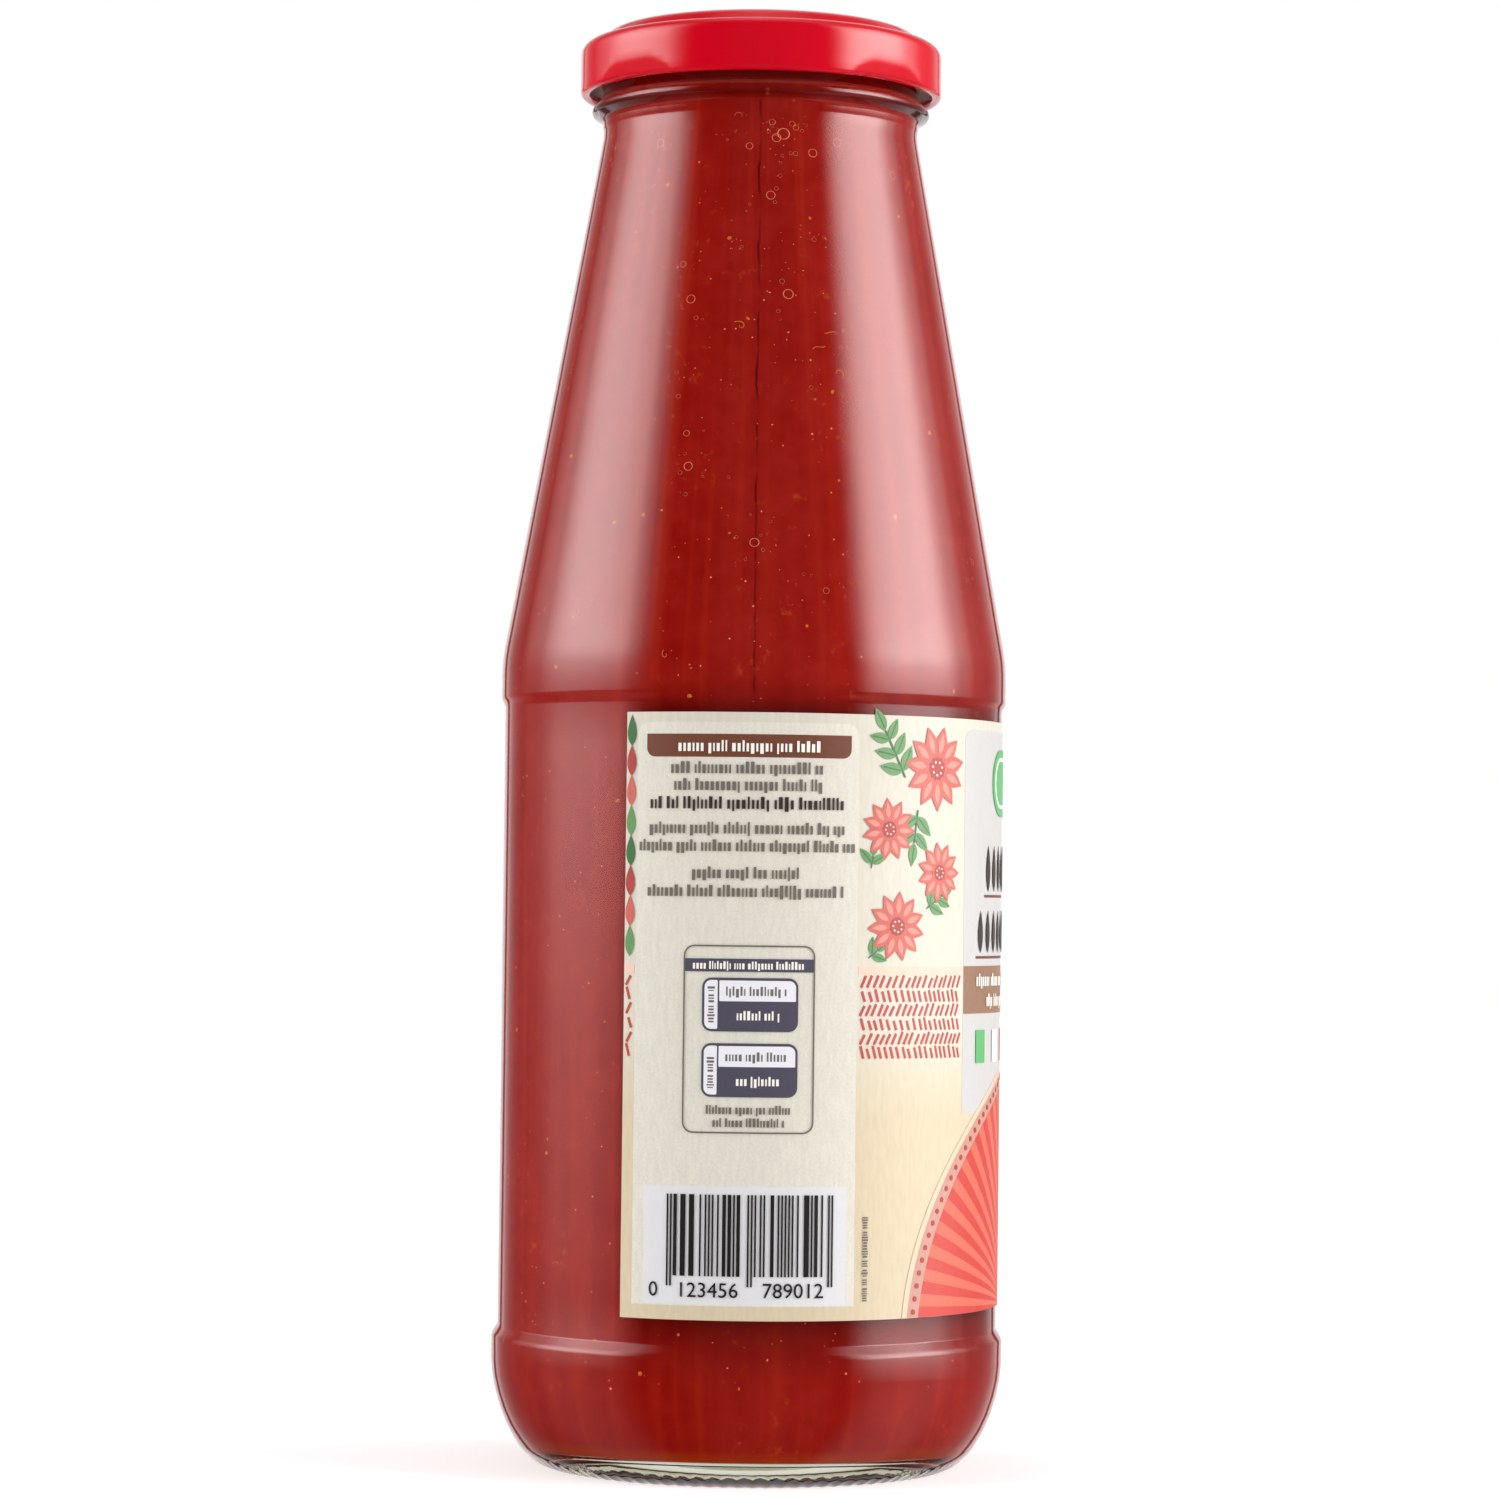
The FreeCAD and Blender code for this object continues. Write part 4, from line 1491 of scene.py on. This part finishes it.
@dataclass
class Label:
    """The paper label and its print: fields of colour, plain shapes and blocks for words.

    All places are in millimetres on the unrolled label, along it from its left edge and up.
    """

    radius: float = 38.58
    thickness: float = 0.12
    foot: float = 25.5
    height: float = 89.6
    start: float = -119.0
    sweep: float = 270.0
    mirror: float = 182.3
    panel_round: float = 2.0
    panel_rows: Point = (2.1, 88.1)
    header_rows: Point = (82.95, 86.35)
    header_round: float = 1.3
    header_words: Point = (84.6, 1.65)
    rule_width: float = 0.22
    notice_sides: Point = (1.9, 35.8)
    notice_header: Point = (3.4, 34.5)
    notice_words: Point = (8.4, 30.1)
    notice_lines: tuple[Sides, ...] = (
        (7.3, 30.6, 81.4, 1.75),
        (7.8, 29.9, 78.9, 1.75),
        (4.0, 33.7, 72.5, 1.7),
        (2.4, 35.4, 69.9, 1.7),
        (10.7, 26.7, 65.9, 1.7),
        (3.8, 34.0, 63.2, 1.7),
        (13.2, 25.7, 31.0, 1.3),
        (14.2, 24.8, 29.1, 1.3),
    )
    bold_line: Sides = (4.1, 33.6, 76.2, 1.8)
    upright_line: Sides = (2.8, 15.3, 37.55, 0.95)
    tag_frame: Sides = (9.6, 27.5, 29.15, 55.2)
    tag_strip: Sides = (9.75, 51.3, 29.0, 53.2)
    tag_sides: Point = (12.45, 26.65)
    tag_feet: Point = (42.5, 32.85)
    tag_height: float = 7.9
    bar_field: Sides = (3.75, 2.3, 34.4, 19.7)
    bar_module: float = 0.262
    bar_left: float = 7.45
    bar_foot: float = 6.5
    guard_foot: float = 5.0
    bar_top: float = 18.5
    guards: tuple[int, ...] = (0, 2, 46, 48, 92, 94)
    bar_halves: tuple[tuple[int, int], ...] = ((4, 44), (50, 90))
    numbers: tuple[tuple[str, float], ...] = (("123456", -6.35), ("789012", 6.35))
    number_foot: float = 3.4
    number_height: float = 3.1
    hatch_sides: tuple[Point, ...] = ((0.1, 1.7), (36.0, 57.0), (125.6, 146.4))
    hatch_foot: float = 38.6
    hatch_step: float = 2.1
    hatch_rows: int = 6
    stroke_height: float = 1.7
    stroke_width: float = 0.42
    stroke_gap: float = 1.05
    haze_rows: Point = (50.9, 52.2)
    petals: int = 11
    stamens: int = 7
    heart_share: float = 0.26
    leaf_lean: float = 52.0
    flower_places: tuple[Sides, ...] = (
        (50.2, 81.9, 6.4, 10.0),
        (41.0, 72.6, 4.7, 30.0),
        (51.0, 66.3, 4.6, 0.0),
        (42.6, 58.2, 5.2, 20.0),
    )
    sprig_places: tuple[tuple[float, float, float, int, float], ...] = (
        (43.8, 80.4, 118.0, 3, 4.2),
        (46.3, 75.6, 262.0, 2, 4.0),
        (37.9, 66.8, 80.0, 1, 3.0),
        (48.2, 60.9, 30.0, 2, 3.3),
        (37.6, 53.5, 35.0, 1, 2.8),
    )
    border_foot: Point = (0.9, 53.4)
    border_step: float = 4.45
    border_leaf: Point = (4.6, 1.5)
    front_sides: Point = (57.3, 125.0)
    front_rows: Point = (30.0, 88.1)
    banner: Sides = (23.6, 75.2, 85.4, 5.0)
    banner_line: Sides = (22.4, 76.4, 84.2, 3.8)
    banner_line_width: float = 0.5
    friezes: tuple[tuple[float, float, float], ...] = ((63.6, 27.0, 7.0), (54.3, 30.0, 6.4))
    frieze_pitch: float = 3.0
    frieze_width: float = 1.7
    frieze_rule: Point = (0.9, 0.5)
    strip_rows: Point = (45.1, 52.3)
    strip_words: tuple[Point, ...] = ((4.0, 50.2), (8.0, 47.1))
    strip_tall: float = 1.9
    square_rows: Point = (37.6, 42.6)
    square_width: float = 3.4
    square_pitch: float = 7.0
    squares: int = 9
    sun_middle: Point = (86.0, -4.0)
    sun_heart: float = 6.0
    sun_radius: float = 42.0
    sun_rim: float = 3.2
    sun_edge: float = 0.9
    sun_rays: int = 64
    bead_depth: float = 2.05
    bead_radius: float = 0.42
    bead_low: float = 0.7
    least_up: float = 0.02
    table_sides: Point = (146.6, 180.5)
    table_rows: Point = (22.0, 58.0)
    table_round: float = 0.8
    table_inset: float = 2.0
    table_step: float = 3.6
    rule_half: float = 0.07
    text_inset: float = 2.2
    text_step: float = 2.6
    table_text_top: float = 80.6
    table_text_low: float = 18.0
    prints: dict[Tone, Print] = field(default_factory=dict)

    def on(self, tone: Tone) -> Print:
        """The print of one ink, started when it is first used."""
        return self.prints.setdefault(tone, Print())

    @property
    def length(self) -> float:
        """The unrolled label's length."""
        return math.radians(self.sweep) * (self.radius + self.thickness)

    def paper(self) -> None:
        """The sheet itself, wrapped round the glass."""
        sheet = Print()
        sheet.box(0.0, 0.0, self.length, self.height)
        piece = sheet.wrapped("paper_label", self, 0.0, self.thickness, Paper().material())
        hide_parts("label")

    def build(self) -> None:
        """Makes the paper and every print on it."""
        self.paper()
        self.notice()
        self.tags()
        self.bars()
        self.hatching()
        self.flowers()
        self.front()
        self.sunburst()
        self.table()
        for tone, art in self.prints.items():
            lift = Print.LIFT * (tone.order + 2)
            name = f"print_{tone.name.lower()}"
            art.wrapped(name, self, lift, Print.THICKNESS, tone.finish.material())

    def panel(self, sides: Point, header: Point, words: Point, seed: int) -> None:
        """Adds a grey-beige panel with a header bar and pale blocks in it.

        Args:
            sides: Left and right side of the panel.
            header: Left and right end of the bar.
            words: Left and right end of the blocks.
            seed: Start of the blocks' random widths.
        """
        low, high = self.panel_rows
        corners = (0.0, 0.0, self.panel_round, self.panel_round)
        self.on(Tone.PANEL).box(sides[0], low, sides[1], high, *corners)
        low, high = self.header_rows
        corners = (self.header_round, self.header_round, 0.0, 0.0)
        self.on(Tone.HEADER).box(header[0], low, header[1], high, *corners)
        self.on(Tone.PALE_MARKS).marks(*words, *self.header_words, seed)

    def notice(self) -> None:
        """The first panel: lines of small print and the outlined box."""
        self.panel(self.notice_sides, self.notice_header, self.notice_words, 11)
        small = self.on(Tone.SMALL_MARKS)
        for seed, line in enumerate(self.notice_lines, start=21):
            small.marks(*line, seed)
        self.on(Tone.DARK_MARKS).marks(*self.bold_line, 31)
        small.frame(*self.tag_frame, self.rule_width, 1.6)
        small.marks(*self.upright_line, 41, upright=True)

    def tags(self) -> None:
        """The slate strip and two slate tags in the outlined box."""
        slate = self.on(Tone.SLATE)
        tag = self.on(Tone.TAG)
        small = self.on(Tone.SMALL_MARKS)
        pale = self.on(Tone.PALE_MARKS)
        slate.box(*self.tag_strip)
        pale.marks(11.0, 27.6, 52.25, 1.15, 51)
        left, right = self.tag_sides
        for low, seed in zip(self.tag_feet, (61, 71)):
            slate.box(left, low, right, low + self.tag_height, 1.4)
            # a narrow pale cell at the left and a wide one at the top
            tag.box(12.8, low + 0.35, 14.75, low + 7.55, 1.0, 0.2, 0.2, 1.0)
            tag.box(15.0, low + 4.45, 26.3, low + 7.5, 0.1, 0.1, 1.0, 0.1)
            small.marks(16.0, 25.4, low + 5.95, 1.35, seed)
            pale.marks(17.6, 24.0, low + 2.35, 1.35, seed + 1)
            small.marks(low + 1.3, low + 6.6, 13.8, 1.1, seed + 2, upright=True)

    def bars(self) -> None:
        """The white field with plain bars that stand for no code, and plain numbers."""
        self.on(Tone.WHITE_FIELD).box(*self.bar_field)
        ink = self.on(Tone.BARS)
        rng = random.Random(5)
        for guard in self.guards:
            self.bar(ink, guard, 1, self.guard_foot)
        for first, last in self.bar_halves:
            place = first
            while place < last:
                wide = min(rng.choice((1, 1, 1, 2, 2, 3)), last - place)
                self.bar(ink, place, wide, self.bar_foot)
                place += wide + rng.choice((1, 1, 2, 2, 3))
        middle = self.bar_left + 48 * self.bar_module
        ink.number("0", self.bar_left - 2.0, self.number_foot, self.number_height)
        for number, aside in self.numbers:
            ink.number(number, middle + aside, self.number_foot, self.number_height)

    def bar(self, ink: Print, place: int, wide: int, foot: float) -> None:
        """Adds one bar.

        Args:
            ink: The print that it goes in.
            place: Where it starts, in modules.
            wide: Its width in modules.
            foot: Its lower end.
        """
        left = self.bar_left + place * self.bar_module
        ink.box(left, foot, left + wide * self.bar_module, self.bar_top)

    def hatching(self) -> None:
        """A herringbone band of short red strokes on a warm haze, on both sides of the front."""
        haze = self.on(Tone.HAZE)
        ink = self.on(Tone.HATCH)
        rng = random.Random(8)
        for left, right in self.hatch_sides:
            haze.box(left, self.haze_rows[0], right, self.haze_rows[1])
            for row in range(self.hatch_rows):
                low = self.hatch_foot + self.hatch_step * row
                lean = 1.0 if row % 2 else -1.0
                place = left + 0.55 + rng.uniform(0.0, 0.4)
                while place < right - 0.5:
                    tall = self.stroke_height + rng.uniform(-0.3, 0.2)
                    reach = min(lean * 0.8, right - place) if lean > 0 else lean * 0.5
                    start = (place - reach / 2, low)
                    end = (max(place + reach / 2, left + 0.1), low + tall)
                    ink.stroke(start, end, self.stroke_width)
                    place += self.stroke_gap + rng.uniform(-0.12, 0.2)

    def flower(self, s: float, t: float, size: float, turn: float) -> None:
        """Adds a flower with pointed petals.

        Args:
            s: Its middle, along the label.
            t: Its middle, up the label.
            size: Its radius.
            turn: Its turn in degrees.
        """
        heart = size * self.heart_share
        for petal in range(self.petals):
            angle = turn + 360 / self.petals * petal
            way = heading(math.radians(angle))
            middle = Vector((s, t))
            foot = tuple(middle + way * heart * 0.8)
            self.on(Tone.CORAL).leaf(foot, size * 0.8, size * 0.42, angle)
            inner = tuple(middle + way * size * 0.36)
            self.on(Tone.CORAL_PALE).leaf(inner, size * 0.5, size * 0.17, angle)
        self.on(Tone.CORAL_DEEP).disc(s, t, heart, 18)
        for stamen in range(self.stamens):
            way = math.radians(turn + 360 / self.stamens * stamen)
            dot = (s + heart * 0.6 * math.cos(way), t + heart * 0.6 * math.sin(way))
            self.on(Tone.PALE_MARKS).disc(*dot, heart * 0.11, 8)

    def sprig(self, s: float, t: float, angle: float, leaves: int, size: float) -> None:
        """Adds a sprig: a stalk with leaves on both sides, each with its vein.

        Args:
            s: Foot of the stalk, along the label.
            t: Foot of the stalk, up the label.
            angle: Its direction in degrees.
            leaves: Pairs of leaves.
            size: Length of a leaf.
        """
        way = heading(math.radians(angle))
        foot = Vector((s, t))
        gap = size * 0.62
        tip = foot + way * gap * leaves
        self.on(Tone.LEAF_DEEP).stroke(tuple(foot), tuple(tip), size * 0.07)
        for pair in range(leaves):
            at = foot + way * (gap * pair + gap * 0.4)
            for lean in (self.leaf_lean, -self.leaf_lean):
                self.veined(at, angle + lean, size * (1 - 0.08 * pair))
        self.veined(tip, angle, size * 0.9)

    def veined(self, foot: Vector, angle: float, size: float) -> None:
        """Adds one leaf with a dark vein.

        Args:
            foot: Foot of the leaf.
            angle: Its direction in degrees.
            size: Its length.
        """
        way = heading(math.radians(angle))
        self.on(Tone.LEAF).leaf(tuple(foot), size, size * 0.46, angle)
        self.on(Tone.LEAF_DEEP).stroke(
            tuple(foot + way * size * 0.1), tuple(foot + way * size * 0.85), size * 0.06
        )

    def flowers(self) -> None:
        """Flowers and sprigs beside the front, mirrored at its right, and a border of leaves."""
        for s, t, size, turn in self.flower_places:
            self.flower(s, t, size, turn)
            self.flower(self.mirror - s, t, size, -turn)
        for s, t, angle, leaves, size in self.sprig_places:
            self.sprig(s, t, angle, leaves, size)
            self.sprig(self.mirror - s, t, 180 - angle, leaves, size)
        s, low = self.border_foot
        for step, tone in enumerate((Tone.LEAF, Tone.CORAL, Tone.CORAL_DEEP, Tone.LEAF_DEEP) * 2):
            self.on(tone).leaf((s, low + self.border_step * step), *self.border_leaf, 90.0)

    def front(self) -> None:
        """The pale front panel: banner, two friezes, brown strip and a row of small squares."""
        left, right = self.front_sides
        middle = (left + right) / 2
        low, high = self.front_rows
        corners = (0.0, 0.0, self.panel_round, self.panel_round)
        self.on(Tone.PALE).box(left, low, right, high, *corners)
        reach, low, high, corner = self.banner
        self.on(Tone.GREEN).box(middle - reach, low, middle + reach, high, corner)
        reach, low, high, corner = self.banner_line
        line = self.on(Tone.PALE_MARKS)
        line.frame(middle - reach, low, middle + reach, high, self.banner_line_width, corner)
        for low, reach, tall in self.friezes:
            count = round(2 * reach / self.frieze_pitch)
            for step in range(count):
                s = middle - reach + (step + 0.5) * 2 * reach / count
                self.on(Tone.DARK_MARKS).leaf((s, low), tall, self.frieze_width, 90.0)
            first, last = (low - drop for drop in self.frieze_rule)
            self.on(Tone.HEADER).box(middle - reach, first, middle + reach, last)
        low, high = self.strip_rows
        self.on(Tone.STRIP).box(left + 0.1, low, right - 0.1, high)
        for seed, (inset, up) in enumerate(self.strip_words, start=81):
            ends = (left + inset, right - inset)
            self.on(Tone.PALE_MARKS).marks(*ends, up, self.strip_tall, seed)
        tones = (Tone.GREEN, Tone.TAG, Tone.SUN_RED)
        low, high = self.square_rows
        for step in range(self.squares):
            s = left + 4.0 + self.square_pitch * step
            self.on(tones[step % 3]).box(s, low, s + self.square_width, high)

    def sunburst(self) -> None:
        """A half sun with rays and a beaded rim that rises from the label's lower edge."""
        middle = Vector(self.sun_middle)
        outer = self.sun_radius
        rim = outer - self.sun_rim
        edge = outer - self.sun_edge
        for ray in range(self.sun_rays):
            first = math.pi * ray / self.sun_rays
            last = math.pi * (ray + 1) / self.sun_rays
            tone = Tone.SUN_RED if ray % 2 else Tone.SUN_ORANGE
            self.sector(tone, middle, self.sun_heart, rim, first, last)
            self.sector(Tone.SUN_RIM, middle, rim, edge, first, last)
            self.sector(Tone.SUN_EDGE, middle, edge, outer, first, last)
            bead = middle + heading((first + last) / 2) * (outer - self.bead_depth)
            if bead.y > self.bead_low:
                self.on(Tone.CORAL_DEEP).disc(*bead, self.bead_radius, 10)

    def sector(
        self, tone: Tone, middle: Vector, near: float, far: float, first: float, last: float
    ) -> None:
        """Adds a piece of a ring, as far as it lies on the label.

        Args:
            tone: Its ink.
            middle: The ring's middle.
            near: Inner radius.
            far: Outer radius.
            first: Direction of its first side, in radians.
            last: Direction of its last side, in radians.
        """
        corners = []
        for radius, way in ((near, first), (far, first), (far, last), (near, last)):
            corners.append(middle + heading(way) * radius)
        if all(corner.y < self.least_up for corner in corners):
            return
        for corner in corners:
            corner.y = max(corner.y, self.least_up)
        self.on(tone).outline(tuple(corner) for corner in corners)

    def table(self) -> None:
        """The second panel, at the far end: small print over a ruled table."""
        left, right = self.table_sides
        header = (left + 1.5, right - 1.5)
        self.panel(self.table_sides, header, (left + 6.0, right - 6.0), 91)
        small = self.on(Tone.SMALL_MARKS)
        first = left + self.text_inset
        for line in range(7):
            last = right - (self.text_inset if line < 6 else 12.0)
            up = self.table_text_top - self.text_step * line
            small.marks(first, last, up, 1.7, 100 + line)
        low, high = self.table_rows
        sides = (left + self.table_inset, right - self.table_inset)
        small.frame(sides[0], low, sides[1], high, self.rule_width, self.table_round)
        for line in range(9):
            t = low + self.table_step * (line + 1)
            small.box(left + 2.3, t - self.rule_half, right - 2.3, t + self.rule_half)
            small.marks(left + 3.4, left + 3.4 + 9.0 + 4.0 * (line % 3), t - 1.8, 1.4, 120 + line)
            small.marks(right - 8.4, right - 3.6, t - 1.8, 1.4, 140 + line)
        for line in range(5):
            up = self.table_text_low - self.text_step * line
            small.marks(first, right - self.text_inset, up, 1.6, 160 + line)


# ---------------------------------------------------------------- studio


@dataclass(frozen=True)
class Studio:
    """The camera, a plain floor, a pale surround and soft light."""

    lens: float = 115.5
    distance: float = 0.7482
    aside: float = -0.0005
    eye: float = 0.087
    pitch: float = math.radians(1.816)
    roll: float = math.radians(0.68)
    floor_size: float = 6.0
    fill: float = 0.50
    matt_share: float = 0.66
    box_peak: float = 11.0
    boxes: tuple[Point, ...] = (
        (-134, 0.0), (-121, 1.0), (-114, 1.6), (-103, 4.7), (-97, 6.2), (-88, 7.2), (-77, 7.4),
        (-70, 6.5), (-64, 5.4), (-58, 2.7), (-53, 1.0), (-48, 0.15), (-43, 0.0), (42, 0.0),
        (46, 0.4), (50, 1.8), (55, 5.1), (60, 8.2), (66, 9.7), (74, 10.6), (87, 9.9), (93, 9.1),
        (99, 6.8), (103, 4.6), (108, 2.5), (120, 0.4), (132, 0.0),
    )
    box_heights: tuple[Point, ...] = (
        (-90, 0.03), (-7, 0.05), (-1.8, 0.19), (1.7, 0.36), (5, 0.55), (12, 0.92), (17, 1.0),
        (23, 0.86), (34, 0.68), (44, 0.4), (56, 0.06), (90, 0.03),
    )
    room: tuple[Point, ...] = (
        (-180, 1.0), (-161, 1.0), (-159, 0.1), (-156, 0.1), (-154, 0.9), (-148, 0.45),
        (-141, 0.26), (-125, 0.1), (-48, 0.0), (-28, 0.0), (-14, 0.055), (34, 0.07), (46, 0.02),
        (60, 0.1), (125, 0.2), (141, 0.32), (148, 0.6), (154, 0.9), (156, 0.1), (159, 0.1),
        (161, 1.0), (180, 1.0),
    )
    ceiling: tuple[Point, ...] = ((66, 0.0), (80, 0.6), (90, 0.8))
    right_lower: float = 3.0

    def camera(self) -> None:
        """Sets up the camera, level with the label and turned a little upwards."""
        data = bpy.data.cameras.new("camera")
        data.lens = self.lens
        data.sensor_width = 36.0
        data.clip_start = 0.05
        data.clip_end = 20.0
        camera = bpy.data.objects.new("camera", data)
        aim = Matrix.Rotation(math.radians(90) + self.pitch, 4, "X")
        camera.matrix_world = (
            Matrix.Translation((self.aside, -self.distance, self.eye))
            @ aim
            @ Matrix.Rotation(self.roll, 4, "Z")
        )
        bpy.context.scene.collection.objects.link(camera)
        bpy.context.scene.camera = camera

    def floor(self) -> None:
        """Lays a plain white floor, which takes the bottle's shadow."""
        bm = bmesh.new()
        bmesh.ops.create_grid(bm, x_segments=1, y_segments=1, size=self.floor_size / 2)
        mesh = bpy.data.meshes.new("floor")
        bm.to_mesh(mesh)
        bm.free()
        material, tree = blank("floor_white")
        matt = tree.add("BsdfDiffuse", {"Color": (0.97, 0.97, 0.97)}).outputs[0]
        lift = tree.add("Emission", {"Color": (1.0, 1.0, 1.0), "Strength": 0.3}).outputs[0]
        seen = tree.add("AddShader", {0: matt, 1: lift}).outputs[0]
        white = tree.add("Emission", {"Color": (1.0, 1.0, 1.0), "Strength": 0.85}).outputs[0]
        path = tree.add("LightPath")
        through = tree.shader_mix(path.outputs["Is Transmission Ray"], matt, white)
        every = tree.shader_mix(path.outputs["Is Camera Ray"], through, seen)
        tree.surface(every)
        mesh.materials.append(material)
        floor = bpy.data.objects.new("floor", mesh)
        floor.visible_glossy = False
        bpy.context.scene.collection.objects.link(floor)

    def surround(self) -> None:
        """The light: two tall softboxes in gloss, a gentler copy of them on matt things, white behind."""
        world = bpy.data.worlds.new("studio")
        bpy.context.scene.world = world
        tree = Tree(world, "OutputWorld")
        way = tree.add("TexCoord").outputs["Generated"]
        parts = tree.add("SeparateXYZ", {"Vector": way}).outputs
        turn = tree.math("ARCTAN2", parts["X"], tree.math("MULTIPLY", parts["Y"], -1.0))
        ring = tree.math("MULTIPLY_ADD", turn, 0.5 / math.pi, 0.5)
        height = tree.math("MULTIPLY_ADD", tree.math("ARCSINE", parts["Z"]), 1 / math.pi, 0.5)
        boxes = tree.ramp(ring, [((a + 180) / 360, v / self.box_peak) for a, v in self.boxes])
        lower = tree.math("GREATER_THAN", ring, 0.5)
        reach = tree.math("MULTIPLY_ADD", lower, self.right_lower / 180, height)
        fall = tree.ramp(reach, [((a + 90) / 180, v) for a, v in self.box_heights])
        lamps = tree.mix(1.0, boxes, fall, "MULTIPLY")
        around = tree.ramp(ring, [((a + 180) / 360, v) for a, v in self.room])
        above = tree.ramp(height, [((a + 90) / 180, v) for a, v in self.ceiling])
        room = tree.math("MAXIMUM", around, above)
        lamp = tree.add("Background", {"Color": lamps, "Strength": self.box_peak}).outputs[0]
        walls = tree.add("Background", {"Color": room, "Strength": 1.0}).outputs[0]
        gloss = tree.add("AddShader", {0: lamp, 1: walls}).outputs[0]
        share = self.box_peak * self.matt_share
        soft = tree.add("Background", {"Color": lamps, "Strength": share}).outputs[0]
        fill = tree.add("Background", {"Color": (1.0, 1.0, 1.0), "Strength": self.fill}).outputs[0]
        matt = tree.add("AddShader", {0: soft, 1: fill}).outputs[0]
        white = tree.add("Background", {"Color": (1.0, 1.0, 1.0), "Strength": 1.0}).outputs[0]
        path = tree.add("LightPath")
        light = tree.shader_mix(path.outputs["Is Glossy Ray"], matt, gloss)
        through = tree.shader_mix(path.outputs["Is Transmission Ray"], light, white)
        every = tree.shader_mix(path.outputs["Is Camera Ray"], through, white)
        tree.surface(every)

    def build(self) -> None:
        """Sets up the whole studio."""
        self.camera()
        self.floor()
        self.surround()
        bpy.context.scene.view_settings.view_transform = "Standard"


def dress_seal() -> None:
    """Gives the sealing ring its compound."""
    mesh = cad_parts["seal"].data
    mesh.materials.clear()
    mesh.materials.append(Rubber().material())


def main() -> None:
    """Builds the bottle, its filling, cap and label, and the studio."""
    logging.basicConfig(level=logging.INFO, format="%(name)s: %(message)s")
    bottle = Bottle()
    bottle.build()
    Filling(bottle).build()
    Bits(bottle).build()
    Cap().build()
    dress_seal()
    Label().build()
    Studio().build()


if __name__ == "__main__":
    main()
